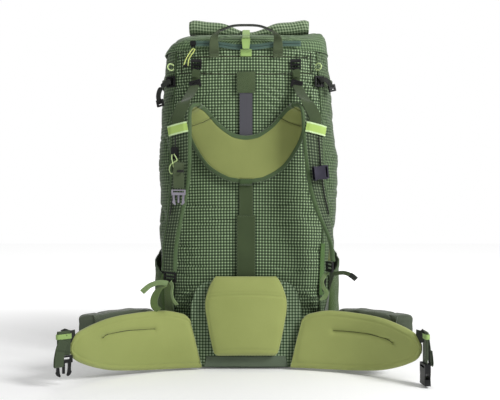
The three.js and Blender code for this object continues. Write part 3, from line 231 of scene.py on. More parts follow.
def softNoise(u, v, cell, seed):
    # smooth random values from -1 to 1 on a lattice of cells
    if seed not in noiseGrids:
        noiseGrids[seed] = np.random.RandomState(seed).uniform(-1, 1, (128, 128))
    grid = noiseGrids[seed]
    x = np.asarray(u) / cell
    y = np.asarray(v) / cell
    x0 = np.floor(x).astype(int)
    y0 = np.floor(y).astype(int)
    fx = x - x0
    fy = y - y0
    fx = fx * fx * (3 - 2 * fx)
    fy = fy * fy * (3 - 2 * fy)

    def at(i, j):
        return grid[i % 128, j % 128]

    low = at(x0, y0) * (1 - fx) + at(x0 + 1, y0) * fx
    high = at(x0, y0 + 1) * (1 - fx) + at(x0 + 1, y0 + 1) * fx
    return low * (1 - fy) + high * fy


def ridges(u, v, cell, seed):
    # narrow valleys between broad swells, as cloth makes
    return np.abs(softNoise(u, v, cell, seed)) * 2 - 1


def valleys(u, v, cell, seed, width=0.3):
    # creases with flat cloth between them
    return -np.maximum(0, width - np.abs(softNoise(u, v, cell, seed)))


def bell(value, middle, reach):
    # 1 at the middle, fading to both sides
    return np.exp(-((value - middle) / reach) ** 2)


def sideOf(sign):
    return "left" if sign < 0 else "right"


def closeBuild(build, mesh):
    bmesh.ops.recalc_face_normals(build, faces=build.faces)
    build.to_mesh(mesh)
    build.free()


def newObject(name, mesh, body, material, smooth=True):
    piece = bpy.data.objects.new(name, mesh)
    bpy.context.collection.objects.link(piece)
    mesh.materials.append(material)
    if smooth:
        mesh.polygons.foreach_set("use_smooth", [True] * len(mesh.polygons))
    if body:
        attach(piece, body)
    return piece


def gridNormals(points):
    across = np.gradient(points, axis=1)
    along = np.gradient(points, axis=0)
    normals = np.cross(across, along)
    size = np.linalg.norm(normals, axis=2, keepdims=True)
    return normals / np.maximum(size, 1e-12)


def flatLengths(points):
    # how far each point of a grid lies along its row and its column, measured on the cloth
    across = np.linalg.norm(np.diff(points, axis=1), axis=2)
    along = np.linalg.norm(np.diff(points, axis=0), axis=2)
    u = np.concatenate([np.zeros((points.shape[0], 1)), np.cumsum(across, axis=1)], axis=1)
    v = np.concatenate([np.zeros((1, points.shape[1])), np.cumsum(along, axis=0)], axis=0)
    middle = u.shape[1] // 2
    u = u - u[:, middle : middle + 1]
    return u, v


def gridMesh(name, points, uv, inward=None, closedRound=False):
    # cloth from a grid of points: one face grid, and a second one behind it if its points are given
    rows, columns = points.shape[:2]
    vertices = points.reshape(-1, 3)
    faces = []
    corners = []
    last = columns if closedRound else columns - 1
    for i in range(rows - 1):
        for j in range(last):
            k = (j + 1) % columns
            faces.append((i * columns + j, i * columns + k, (i + 1) * columns + k, (i + 1) * columns + j))
            corners.append([(i, j), (i, j + 1), (i + 1, j + 1), (i + 1, j)])
    if inward is not None:
        count = len(vertices)
        vertices = np.concatenate([vertices, inward.reshape(-1, 3)])
        for face, corner in list(zip(faces, corners)):
            faces.append(tuple(count + index for index in reversed(face)))
            corners.append(corner[::-1])
        rims = []
        for j in range(last):
            k = (j + 1) % columns
            rims.append((k, j, (0, j + 1), (0, j)))
            base = (rows - 1) * columns
            rims.append((base + j, base + k, (rows - 1, j), (rows - 1, j + 1)))
        if not closedRound:
            for i in range(rows - 1):
                rims.append((i * columns, (i + 1) * columns, (i, 0), (i + 1, 0)))
                end = columns - 1
                rims.append(((i + 1) * columns + end, i * columns + end, (i + 1, end), (i, end)))
        for a, b, cornerA, cornerB in rims:
            faces.append((a, b, count + b, count + a))
            corners.append([cornerA, cornerB, cornerB, cornerA])
    mesh = bpy.data.meshes.new(name)
    mesh.from_pydata([tuple(v) for v in vertices], [], faces)
    layer = mesh.uv_layers.new(name="cloth")
    u, v = uv
    if closedRound:
        seam = u[:, -1:] + np.abs(u[:, -1:] - u[:, -2:-1])
        u = np.concatenate([u, seam], axis=1)
        v = np.concatenate([v, v[:, :1]], axis=1)
    flat = []
    for corner in corners:
        for i, j in corner:
            flat.extend((u[i, j], v[i, j]))
    layer.data.foreach_set("uv", flat)
    mesh.update()
    return mesh


def smoothPath(points, count):
    # points on a smooth curve through the given ones, evenly spaced
    p = np.array([tuple(q) for q in points], float)
    p = np.concatenate([2 * p[:1] - p[1:2], p, 2 * p[-1:] - p[-2:-1]])
    dense = []
    steps = 24
    for i in range(1, len(p) - 2):
        for k in range(steps):
            t = k / steps
            a = 2 * p[i]
            b = p[i + 1] - p[i - 1]
            c = 2 * p[i - 1] - 5 * p[i] + 4 * p[i + 1] - p[i + 2]
            d = -p[i - 1] + 3 * p[i] - 3 * p[i + 1] + p[i + 2]
            dense.append((a + b * t + c * t * t + d * t**3) / 2)
    dense.append(p[-2])
    dense = np.array(dense)
    run = np.concatenate([[0], np.cumsum(np.linalg.norm(np.diff(dense, axis=0)[:, :3], axis=1))])
    wanted = np.linspace(0, run[-1], count)
    return np.stack([np.interp(wanted, run, dense[:, k]) for k in range(p.shape[1])], axis=1)


# Finishes

def socket(group, name, kind, way="INPUT", value=None):
    made = group.interface.new_socket(name=name, in_out=way, socket_type=kind)
    if value is not None:
        made.default_value = value
    return made


def mathNode(tree, operation, a, b=None, clamp=False):
    node = tree.nodes.new("ShaderNodeMath")
    node.operation = operation
    node.use_clamp = clamp
    for index, value in enumerate((a, b)):
        if value is None:
            continue
        if isinstance(value, (int, float)):
            node.inputs[index].default_value = value
        else:
            tree.links.new(value, node.inputs[index])
    return node.outputs[0]


def mixColours(tree, share, first, second):
    node = tree.nodes.new("ShaderNodeMix")
    node.data_type = "RGBA"
    for name, value in (("Factor", share), ("A", first), ("B", second)):
        target = [s for s in node.inputs if s.name == name and s.enabled][-1]
        if hasattr(value, "is_linked"):
            tree.links.new(value, target)
        else:
            target.default_value = (*value, 1)
    return [s for s in node.outputs if s.enabled][-1]


def startGroup(name):
    group = bpy.data.node_groups.new(name, "ShaderNodeTree")
    given = group.nodes.new("NodeGroupInput")
    result = group.nodes.new("NodeGroupOutput")
    return group, given, result


def bandAcross(tree, value, pitch, width):
    # 1 on a line that comes back at every pitch, soft at both edges
    turns = mathNode(tree, "DIVIDE", value, pitch)
    part = mathNode(tree, "FRACT", turns)
    away = mathNode(tree, "ABSOLUTE", mathNode(tree, "SUBTRACT", part, 0.5))
    edge = mathNode(tree, "DIVIDE", mathNode(tree, "SUBTRACT", away, mathNode(tree, "SUBTRACT", 0.5, width)),
                    0.14)
    return mathNode(tree, "ADD", edge, 0.5, clamp=True)


def ripstopGroup():
    # light lines both ways over a darker plain weave
    group, given, result = startGroup("ripstopGrid")
    socket(group, "Cloth", "NodeSocketVector")
    socket(group, "Pitch", "NodeSocketFloat", value=0.0058)
    socket(group, "Line Share", "NodeSocketFloat", value=0.2)
    socket(group, "Lines", "NodeSocketFloat", "OUTPUT")
    socket(group, "Crossings", "NodeSocketFloat", "OUTPUT")
    socket(group, "Height", "NodeSocketFloat", "OUTPUT")
    parts = group.nodes.new("ShaderNodeSeparateXYZ")
    group.links.new(given.outputs["Cloth"], parts.inputs[0])
    across = bandAcross(group, parts.outputs["X"], given.outputs["Pitch"], given.outputs["Line Share"])
    along = bandAcross(group, parts.outputs["Y"], given.outputs["Pitch"], given.outputs["Line Share"])
    lines = mathNode(group, "MAXIMUM", across, along)
    group.links.new(lines, result.inputs["Lines"])
    crossings = mathNode(group, "MULTIPLY", across, along)
    group.links.new(crossings, result.inputs["Crossings"])
    group.links.new(mathNode(group, "ADD", lines, crossings), result.inputs["Height"])
    return group


def weaveGroup():
    # ribs across a webbing, or the two ways of a plain weave
    group, given, result = startGroup("clothWeave")
    socket(group, "Cloth", "NodeSocketVector")
    socket(group, "Rib", "NodeSocketFloat", value=0.0012)
    socket(group, "Cross Rib", "NodeSocketFloat", value=0.003)
    socket(group, "Height", "NodeSocketFloat", "OUTPUT")
    parts = group.nodes.new("ShaderNodeSeparateXYZ")
    group.links.new(given.outputs["Cloth"], parts.inputs[0])
    waves = []
    for name, pitch in (("Y", "Rib"), ("X", "Cross Rib")):
        turns = mathNode(group, "DIVIDE", parts.outputs[name], given.outputs[pitch])
        waves.append(mathNode(group, "SINE", mathNode(group, "MULTIPLY", turns, 2 * math.pi)))
    group.links.new(mathNode(group, "MULTIPLY", waves[0], waves[1]), result.inputs["Height"])
    return group


def shadeGroup():
    # broad uneven fading and fine fibres, from 0 to 1 round a half
    group, given, result = startGroup("unevenShade")
    socket(group, "Place", "NodeSocketVector")
    socket(group, "Patch Scale", "NodeSocketFloat", value=18)
    socket(group, "Fibre Scale", "NodeSocketFloat", value=900)
    socket(group, "Patches", "NodeSocketFloat", "OUTPUT")
    socket(group, "Fibres", "NodeSocketFloat", "OUTPUT")
    for scale, name, detail in (("Patch Scale", "Patches", 3), ("Fibre Scale", "Fibres", 2)):
        noise = group.nodes.new("ShaderNodeTexNoise")
        noise.inputs["Detail"].default_value = detail
        group.links.new(given.outputs["Place"], noise.inputs["Vector"])
        group.links.new(given.outputs[scale], noise.inputs["Scale"])
        group.links.new(noise.outputs["Fac"], result.inputs[name])
    return group


def edgeGroup():
    # 1 on worn outer edges and 0 elsewhere
    group, given, result = startGroup("wornEdges")
    socket(group, "Reach", "NodeSocketFloat", value=12)
    socket(group, "Edges", "NodeSocketFloat", "OUTPUT")
    geometry = group.nodes.new("ShaderNodeNewGeometry")
    above = mathNode(group, "SUBTRACT", geometry.outputs["Pointiness"], 0.52)
    group.links.new(mathNode(group, "MULTIPLY", above, given.outputs["Reach"], clamp=True),
                    result.inputs["Edges"])
    return group


groups = {
    "ripstop": ripstopGroup(),
    "weave": weaveGroup(),
    "shade": shadeGroup(),
    "edges": edgeGroup(),
}


def useGroup(tree, key, **values):
    node = tree.nodes.new("ShaderNodeGroup")
    node.node_tree = groups[key]
    for name, value in values.items():
        target = node.inputs[name.replace("_", " ")]
        if hasattr(value, "is_linked"):
            tree.links.new(value, target)
        else:
            target.default_value = value
    return node


def startMaterial(name, roughness, sheen=0.0):
    material = bpy.data.materials.new(name)
    material.use_nodes = True
    tree = material.node_tree
    surface = tree.nodes["Principled BSDF"]
    surface.inputs["Roughness"].default_value = roughness
    surface.inputs["Sheen Weight"].default_value = sheen
    surface.inputs["Specular IOR Level"].default_value = 0.24
    coordinates = tree.nodes.new("ShaderNodeTexCoord")
    return material, tree, surface, coordinates


def addBump(tree, surface, height, strength, distance):
    bump = tree.nodes.new("ShaderNodeBump")
    bump.inputs["Strength"].default_value = strength
    bump.inputs["Distance"].default_value = distance
    tree.links.new(height, bump.inputs["Height"])
    tree.links.new(bump.outputs["Normal"], surface.inputs["Normal"])


def gridFabric(name, ground, line, crossing, sheen=0.15, pitch=0.0058, faded=0.2):
    material, tree, surface, coordinates = startMaterial(name, 0.62, sheen)
    grid = useGroup(tree, "ripstop", Cloth=coordinates.outputs["UV"], Pitch=pitch)
    shade = useGroup(tree, "shade", Place=coordinates.outputs["Object"])
    weave = useGroup(tree, "weave", Cloth=coordinates.outputs["UV"], Rib=0.0011, Cross_Rib=0.0011)
    patches = mathNode(tree, "MULTIPLY", shade.outputs["Patches"], faded)
    base = mixColours(tree, patches, ground, line)
    lined = mixColours(tree, grid.outputs["Lines"], base, line)
    crossed = mixColours(tree, grid.outputs["Crossings"], lined, crossing)
    tree.links.new(crossed, surface.inputs["Base Color"])
    fine = mathNode(tree, "MULTIPLY", weave.outputs["Height"], 0.12)
    addBump(tree, surface, mathNode(tree, "ADD", grid.outputs["Height"], fine), 0.5, 0.0003)
    return material


def plainCloth(name, dark, light, rib=0.0011, crossRib=0.0011, roughness=0.8, sheen=0.2, depth=0.00025,
               patch=18):
    material, tree, surface, coordinates = startMaterial(name, roughness, sheen)
    shade = useGroup(tree, "shade", Place=coordinates.outputs["Object"], Patch_Scale=patch)
    weave = useGroup(tree, "weave", Cloth=coordinates.outputs["UV"], Rib=rib, Cross_Rib=crossRib)
    ribs = mathNode(tree, "MULTIPLY", weave.outputs["Height"], 0.18)
    fibres = mathNode(tree, "MULTIPLY", mathNode(tree, "SUBTRACT", shade.outputs["Fibres"], 0.5), 0.5)
    patches = mathNode(tree, "ADD", shade.outputs["Patches"], mathNode(tree, "ADD", ribs, fibres))
    colour = mixColours(tree, mathNode(tree, "MULTIPLY", patches, 1.0, clamp=True), dark, light)
    tree.links.new(colour, surface.inputs["Base Color"])
    addBump(tree, surface, weave.outputs["Height"], 0.6, depth)
    return material


def webbingCloth(name, dark, light, crossRib=0.0032):
    return plainCloth(name, dark, light, rib=0.0016, crossRib=crossRib)


def cordCloth(name, dark, light, patch=200):
    return plainCloth(name, dark, light, rib=0.0012, crossRib=0.0012, patch=patch)


def foamCloth(name, dark, light):
    # brushed knit over foam: soft, with a faint fine mesh
    material, tree, surface, coordinates = startMaterial(name, 0.78, 0.35)
    shade = useGroup(tree, "shade", Place=coordinates.outputs["Object"], Patch_Scale=9, Fibre_Scale=1400)
    fibres = mathNode(tree, "MULTIPLY", mathNode(tree, "SUBTRACT", shade.outputs["Fibres"], 0.5), 0.45)
    share = mathNode(tree, "ADD", shade.outputs["Patches"], fibres, clamp=True)
    tree.links.new(mixColours(tree, share, dark, light), surface.inputs["Base Color"])
    dimples = tree.nodes.new("ShaderNodeTexVoronoi")
    dimples.inputs["Scale"].default_value = 620
    tree.links.new(coordinates.outputs["Object"], dimples.inputs["Vector"])
    addBump(tree, surface, dimples.outputs["Distance"], 0.25, 0.0003)
    return material


def mouldedPlastic(name, colour, worn, roughness=0.42):
    material, tree, surface, coordinates = startMaterial(name, roughness)
    edges = useGroup(tree, "edges", Reach=9.0)
    shade = useGroup(tree, "shade", Place=coordinates.outputs["Object"], Patch_Scale=60, Fibre_Scale=2600)
    share = mathNode(tree, "MULTIPLY", edges.outputs["Edges"], shade.outputs["Patches"])
    tree.links.new(mixColours(tree, share, colour, worn), surface.inputs["Base Color"])
    uneven = mathNode(tree, "MULTIPLY", shade.outputs["Fibres"], 0.25)
    tree.links.new(mathNode(tree, "ADD", uneven, roughness - 0.1), surface.inputs["Roughness"])
    addBump(tree, surface, shade.outputs["Fibres"], 0.18, 0.0002)
    return material


def satinMetal(name, colour, worn):
    material, tree, surface, coordinates = startMaterial(name, 0.4)
    surface.inputs["Metallic"].default_value = 0.55
    edges = useGroup(tree, "edges", Reach=8.0)
    stretch = tree.nodes.new("ShaderNodeMapping")
    stretch.inputs["Scale"].default_value = (1, 1, 0.02)
    tree.links.new(coordinates.outputs["Object"], stretch.inputs["Vector"])
    shade = useGroup(tree, "shade", Place=stretch.outputs[0], Patch_Scale=400, Fibre_Scale=3000)
    share = mathNode(tree, "MULTIPLY", edges.outputs["Edges"], 0.8)
    lit = mixColours(tree, mathNode(tree, "MULTIPLY", shade.outputs["Patches"], 0.3), colour, worn)
    tree.links.new(mixColours(tree, share, lit, worn), surface.inputs["Base Color"])
    tree.links.new(mathNode(tree, "ADD", mathNode(tree, "MULTIPLY", shade.outputs["Fibres"], 0.2), 0.3),
                   surface.inputs["Roughness"])
    return material


finish = {
    "grid": gridFabric("greenRipstop", (0.0055, 0.015, 0.005), (0.076, 0.122, 0.054), (0.340, 0.455, 0.270)),
    # the sides and front are a darker copy of the same ripstop: painted shade for the faces turned from the
    # light
    "gridSidePaintedShade": gridFabric("greenRipstopSidePaintedShade", (0.014, 0.029, 0.010), (0.070, 0.109, 0.049),
                           (0.152, 0.219, 0.115)),
    "gridTop": gridFabric("greenRipstopTop", (0.020, 0.043, 0.015), (0.095, 0.153, 0.069),
                          (0.184, 0.269, 0.138)),
    # the rolled top is a lighter copy of the same ripstop: painted light for its top, lit from above
    "gridRollPaintedLight": gridFabric("greenRipstopRollPaintedLight", (0.034, 0.062, 0.026), (0.170, 0.235, 0.130),
                           (0.330, 0.420, 0.265)),
    "pocket": plainCloth("stretchGreen", (0.036, 0.070, 0.018), (0.085, 0.14, 0.040), patch=9),
    "base": plainCloth("greyGreenCloth", (0.077, 0.104, 0.068), (0.135, 0.176, 0.119), roughness=0.7,
                       patch=9),
    "binding": plainCloth("boundEdge", (0.025, 0.054, 0.015), (0.058, 0.098, 0.034), rib=0.0014,
                          crossRib=0.0022),
    "olive": webbingCloth("oliveWebbing", (0.026, 0.042, 0.015), (0.051, 0.077, 0.029)),
    "haul": webbingCloth("haulWebbing", (0.038, 0.056, 0.024), (0.078, 0.104, 0.050)),
    "leafWeb": webbingCloth("leafGreenWebbing", (0.045, 0.100, 0.022), (0.085, 0.160, 0.045), 0.003),
    "lime": webbingCloth("limeWebbing", (0.211, 0.335, 0.084), (0.328, 0.473, 0.167)),
    "darkWeb": webbingCloth("blackWebbing", (0.006, 0.008, 0.006), (0.018, 0.021, 0.016), 0.003),
    "darkOlive": webbingCloth("darkGreenWebbing", (0.030, 0.045, 0.022), (0.07, 0.095, 0.05)),
    "zip": plainCloth("sealedZip", (0.038, 0.080, 0.065), (0.076, 0.134, 0.106), rib=0.002, crossRib=0.002,
                      roughness=0.45, depth=0.0001),
    "foam": foamCloth("oliveFoamCloth", (0.223, 0.261, 0.071), (0.335, 0.375, 0.122)),
    "cord": cordCloth("yellowCord", (0.42, 0.52, 0.09), (0.72, 0.80, 0.28)),
    "plastic": mouldedPlastic("blackPlastic", (0.003, 0.003, 0.0035), (0.020, 0.020, 0.021), 0.4),
    "greyPlastic": mouldedPlastic("greyPlastic", (0.17, 0.155, 0.195), (0.36, 0.34, 0.38)),
    "violetPlastic": mouldedPlastic("darkVioletPlastic", (0.009, 0.008, 0.016), (0.045, 0.042, 0.062), 0.36),
    "sheet": mouldedPlastic("frameSheetPlastic", (0.02, 0.022, 0.025), (0.07, 0.07, 0.07), 0.5),
    "stay": satinMetal("greyStay", (0.047, 0.045, 0.058), (0.165, 0.165, 0.182)),
    "limeStitch": plainCloth("limeStitching", (0.5, 0.7, 0.25), (0.7, 0.85, 0.45), rib=0.0008,
                             crossRib=0.0008),
    "patch": plainCloth("patchCloth", (0.039, 0.063, 0.025), (0.078, 0.111, 0.047), rib=0.0009,
                        crossRib=0.0009, patch=30),
    "gusset": webbingCloth("gussetWebbing", (0.075, 0.125, 0.035), (0.14, 0.20, 0.065), 0.003),
    "lightWeb": webbingCloth("lightGreenWebbing", (0.13, 0.20, 0.07), (0.24, 0.33, 0.15), 0.003),
    "paleCord": cordCloth("paleGreenCord", (0.42, 0.58, 0.20), (0.62, 0.76, 0.38)),
    # a near-black cord finish, used as painted shade along seams, creases and slits
    "seam": cordCloth("darkSeamShade", (0.012, 0.017, 0.006), (0.032, 0.040, 0.015), 18),
    "stitch": plainCloth("stitching", (0.06, 0.09, 0.045), (0.16, 0.2, 0.12), rib=0.0008, crossRib=0.0008),
}
print("finishes ready")

viewCamera()
studio()


# Cords

gearLoop = {"diameter": 0.0026, "radius": 0.008, "height": 0.590, "leftAngle": 49, "rightAngle": 43,
            "points": 22}


def tubeCurve(name, points, diameter, body, material):
    curve = bpy.data.curves.new(name, "CURVE")
    curve.dimensions = "3D"
    curve.bevel_depth = diameter / 2
    curve.bevel_resolution = 4
    curve.use_fill_caps = True
    spline = curve.splines.new("POLY")
    spline.points.add(len(points) - 1)
    for point, place in zip(spline.points, points):
        point.co = (*place, 1)
    curve.materials.append(material)
    piece = bpy.data.objects.new(name, curve)
    bpy.context.collection.objects.link(piece)
    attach(piece, body)
    return piece


def gearLoopPiece(side):
    turn = math.radians(gearLoop[side + "Angle"]) * sideSign[side]
    at = bagPoint(turn, gearLoop["height"], gearLoop["diameter"] / 2 + 0.0008)
    near = bagPoint(turn, gearLoop["height"], gearLoop["diameter"] / 2 + 0.0108)
    out = (near - at).normalized()
    up = Vector((0, 0, 1))
    end = 0.84 * math.pi
    points = []
    for i in range(gearLoop["points"]):
        t = mix(-end, end, i / (gearLoop["points"] - 1))
        away = gearLoop["radius"] * (math.cos(t) - math.cos(end))
        points.append(at + out * away + up * (gearLoop["radius"] * 0.8 * math.sin(t)))
    piece = tubeCurve("gearLoop_" + side, points, gearLoop["diameter"], "pack", finish["paleCord"])
    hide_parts("gear_loop_" + side)


pullCord = {
    "out": -0.10052,
    "across": -0.103,
    "top": 0.622,
    "bottom": 0.589,
    "diameter": 0.0022,
    "offsets": [-0.01875, -0.01292, -0.003125, 0, 0.003125, -0.00729, -0.01042],
    "heights": [0, 0.45, 0.933, 1, 0.933, 0.45, 0],
}


def zipPullCord():
    # a doubled cord through the slider's eye, with a moulded end
    route = [(pullCord["across"] + x, pullCord["out"], mix(pullCord["bottom"], pullCord["top"], share))
             for x, share in zip(pullCord["offsets"], pullCord["heights"])]
    points = [Vector(p) for p in smoothPath(route, 34)]
    piece = tubeCurve("zipPullCord", points, pullCord["diameter"], "zip_pull", finish["cord"])
    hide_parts("top_zip_pull")
    ends = bpy.data.meshes.new("zipPullEnd")
    build = bmesh.new()
    profile = [(0, 0.0012), (0.0006, 0.0021), (0.0018, 0.0025), (0.0040, 0.0025), (0.0044, 0.0022),
               (0.0050, 0.0022), (0.0054, 0.0025), (0.0074, 0.0025), (0.0085, 0.0019), (0.009, 0.0008)]
    start = (points[0].x + points[-1].x) / 2 - 0.0045
    around = 20
    rows = []
    for run, radius in profile:
        turns = [2 * math.pi * k / around for k in range(around)]
        rows.append([build.verts.new((start + run, pullCord["out"] + radius * math.cos(turn),
                                      pullCord["bottom"] + radius * math.sin(turn))) for turn in turns])
    for a, b in zip(rows, rows[1:]):
        for k in range(around):
            n = (k + 1) % around
            build.faces.new((a[k], a[n], b[n], b[k]))
    build.faces.new(rows[0][::-1])
    build.faces.new(rows[-1])
    closeBuild(build, ends)
    end = newObject("zipPullEnd", ends, "zip_pull", finish["plastic"])



zipPullCord()
for side in ("left", "right"):
    gearLoopPiece(side)
print("cords ready")


# Bag: four walls of ripstop with folded seams, sagging between them

cloth = {
    "wall": 0.0018,
    "columns": {"back": 230, "front": 130, "side": 130},
    "rows": 460,
    "top": 0.6218,
    "bottom": 0.003,
    "seamHeights": (0.6095, 0.5765),
    "most": 0.0037,
    # long creases of the back wall: across and up in millimetres, then depth and half width
    "creases": [
        ([(-136, 318), (-95, 317), (-14, 309)], 2.6, 2.6),
        ([(-84, 293), (-50, 287), (-16, 291)], 2.8, 2.4),
        ([(-112, 282), (-60, 281), (-17, 284)], 2.2, 2.8),
        ([(-134, 238), (-85, 234)], 2.2, 2.2), ([(-130, 221), (-80, 218)], 2.0, 2.4),
        ([(-138, 203), (-92, 198), (-70, 201)], 2.2, 2.6), ([(-60, 262), (-22, 259)], 1.4, 3.0),
        ([(20, 326), (60, 318), (118, 338)], 1.6, 4.0), ([(22, 272), (70, 283), (128, 300)], 1.6, 4.5),
        ([(24, 246), (66, 250), (120, 236)], 1.5, 4.0), ([(40, 206), (90, 190), (134, 200)], 1.8, 3.5),
        ([(30, 560), (60, 545), (86, 528)], 2.0, 3.0), ([(26, 548), (58, 530), (84, 512)], 2.0, 2.8),
        ([(30, 528), (56, 512), (76, 500)], 1.6, 3.0), ([(34, 505), (52, 496), (66, 486)], 1.4, 3.0),
        ([(-30, 556), (-62, 545), (-92, 530)], 1.8, 3.2), ([(-28, 530), (-52, 516), (-74, 505)], 1.8, 3.0),
        ([(-100, 560), (-120, 540), (-138, 505)], 2.6, 3.0),
        ([(102, 556), (122, 536), (140, 500)], 2.6, 3.0),
        ([(-112, 566), (-132, 552), (-150, 548)], 2.4, 2.6),
        ([(110, 566), (134, 553), (152, 549)], 2.4, 2.6),
        ([(-136, 152), (-106, 146)], 3.0, 2.0), ([(-137, 142), (-104, 139)], 3.0, 1.8),
        ([(-138, 133), (-106, 126)], 3.0, 2.0), ([(-137, 122), (-108, 118)], 2.6, 1.8),
        ([(108, 150), (146, 156)], 3.0, 2.0), ([(106, 138), (148, 141)], 3.0, 1.9),
        ([(108, 128), (148, 132)], 3.0, 1.9), ([(110, 117), (146, 119)], 2.6, 1.8),
    ],
}


def seamPull(away, reach, depth):
    # cloth drawn in towards a line of stitches
    return -depth * np.exp(-(np.abs(away) / reach) ** 1.4)


def puckers(along, away, pitch, reach, depth, seed):
    # small gathers that run off both sides of a seam
    wave = softNoise(along, along * 0 + seed, pitch, seed)
    wave = wave + 0.6 * softNoise(along, away * 0.6, pitch * 0.6, seed + 1)
    return depth * wave * np.exp(-(np.abs(away) / reach))


def creaseField(x, z, creases):
    # each crease is a valley that fades out at its ends, with a swell along its lower side
    field = np.zeros_like(x)
    for line, depth, reach in creases:
        path = smoothPath([(a / 1000, b / 1000, 0) for a, b in line], 24)[:, :2]
        nearest = np.full(x.shape, 1e9)
        side = np.zeros_like(x)
        fade = np.zeros_like(x)
        for k in range(len(path) - 1):
            way = path[k + 1] - path[k]
            t = np.clip(((x - path[k, 0]) * way[0] + (z - path[k, 1]) * way[1]) / (way @ way), 0, 1)
            offX = x - path[k, 0] - t * way[0]
            offZ = z - path[k, 1] - t * way[1]
            away = np.hypot(offX, offZ)
            closer = away < nearest
            nearest = np.where(closer, away, nearest)
            side = np.where(closer, offZ, side)
            fade = np.where(closer, np.sin(math.pi * (k + t) / (len(path) - 1)), fade)
        wide = reach / 1000
        depth = depth / 1000 * np.clip(fade * 1.6, 0, 1)
        field -= depth * bell(nearest, 0, wide)
        field += depth * 0.5 * bell(side, -2.2 * wide, 1.4 * wide) * bell(nearest, 0, 4 * wide)
    return field


def backRelief(x, z):
    # soft hollows and folds of the back wall, in metres outwards, kept within its foam and its seams
    broad = softNoise(x, z, 0.075, 3) * 0.0012
    folds = ridges(x + z * 0.35, z * 0.7, 0.045, 5) * 0.0009
    edge = smoothStep(0.085, 0.13, np.abs(x))
    crumple = valleys(x * 0.45 + z * 0.2, z - x * 0.15, 0.013, 8) * 0.0060
    relief = broad + folds + crumple * mix(0.25, 1, edge)
    relief += creaseField(x, z, cloth["creases"])
    for k, height in enumerate(cloth["seamHeights"]):
        line = height - 0.002 * np.cos(x / 0.05) * (1 if k else 0)
        step = 0.0006 * smoothStep(-0.0004, 0.0006, z - line) * (1 - smoothStep(0.004, 0.02, z - line))
        relief += step + seamPull(z - line + 0.0008, 0.0028, 0.0016)
        relief += puckers(x, z - line, 0.007, 0.012, 0.0026, 11 + k)
    between = smoothStep(0.566, 0.574, z)
    relief += seamPull(np.abs(x) - 0.128, 0.0026, 0.0014) * between
    # cloth gathered over the foot of the pack beside the lumbar pad
    low = (1 - smoothStep(0.15, 0.18, z)) * smoothStep(0.085, 0.105, np.abs(x))
    relief += low * softNoise(x * 0.35, z + np.abs(x) * 0.3, 0.009, 19) * 0.0018
    return np.clip(relief - 0.0010, -cloth["most"], 0.0004)


def sideRelief(run, z, seed):
    broad = softNoise(run, z, 0.09, seed) * 0.0026
    folds = ridges(run * 0.6 + z * 0.3, z * 0.8 - run * 0.25, 0.05, seed + 2) * 0.0018
    creases = valleys(run * 0.6 + z * 0.5, z * 0.8 - run * 0.3, 0.028, seed + 5, 0.32) * 0.008
    fine = valleys(run * 0.4, z, 0.013, seed + 7) * 0.003
    return np.clip(broad + folds + creases + fine - 0.0010, -0.006, 0.0016)


def wallPoints(start, end, columns, relief):
    turns = np.linspace(start, end, columns)
    heights = np.linspace(cloth["bottom"], cloth["top"], cloth["rows"])
    points = np.stack([bagRow(turns, z) for z in heights])
    normals = np.stack([(bagRow(turns, z, 0.01) - row) / 0.01 for z, row in zip(heights, points)])
    u, v = flatLengths(points)
    shift = relief(points, u)
    return points + normals * shift[:, :, None], normals, (u, v)


def edgeHold(u, depth=0.0012, reach=0.004):
    # the cloth dips to the seam at both ends of a wall
    return seamPull(u - u[:, :1], reach, depth) + seamPull(u[:, -1:] - u, reach, depth)


def bagWall(name, start, end, columns, relief, material):
    points, normals, uv = wallPoints(start, end, columns, relief)
    return newObject(name, gridMesh(name, points, uv, points - normals * cloth["wall"]), "pack", material)


def backWallRelief(points, u):
    x = points[:, :, 0]
    z = points[:, :, 2]
    return backRelief(x, z) + edgeHold(u, 0.0008)


def sideWallRelief(seed):
    def relief(points, u):
        z = points[:, :, 2]
        shift = sideRelief(u, z, seed) + edgeHold(u)
        quiet = 1 - 0.75 * smoothStep(0.54, 0.56, z) * (1 - smoothStep(0.57, 0.59, z))
        return shift * quiet * mix(0.35, 1, smoothStep(0.225, 0.27, z))
    return relief


def frontWallRelief(points, u):
    z = points[:, :, 2]
    return np.clip(sideRelief(u, z, 71), -0.005, 0.0004) + edgeHold(u)


seam = 0.004  # half of the gap between two walls, as an angle
backWall = bagWall("backWall", -bag["backSeam"] + seam, bag["backSeam"] - seam, cloth["columns"]["back"],
                   backWallRelief, finish["grid"])
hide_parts("back_panel")
for side, turns in (("left", (-bag["frontSeam"] + seam, -bag["backSeam"] - seam)),
                    ("right", (bag["backSeam"] + seam, bag["frontSeam"] - seam))):
    relief = sideWallRelief(31 if side == "left" else 47)
    wall = bagWall("sideWall_" + side, *turns, cloth["columns"]["side"], relief, finish["gridSidePaintedShade"])
    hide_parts("side_panel_" + side)
frontWall = bagWall("frontWall", bag["frontSeam"] + seam, 2 * math.pi - bag["frontSeam"] - seam,
                    cloth["columns"]["front"], frontWallRelief, finish["gridSidePaintedShade"])
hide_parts("front_panel")


def seamPiping(name, turn):
    # a thin corded edge along a seam between two walls
    points = [bagPoint(turn, mix(0.006, 0.620, i / 79), -0.0008) for i in range(80)]
    piece = tubeCurve(name, smoothPath(points, 110), 0.0026, "pack", finish["binding"])


for side, sign in sideSign.items():
    seamPiping("backSeam_" + side, bag["backSeam"] * sign)
    seamPiping("frontSeam_" + side, bag["frontSeam"] * sign)
print("bag walls ready")


# Collar and rolled top

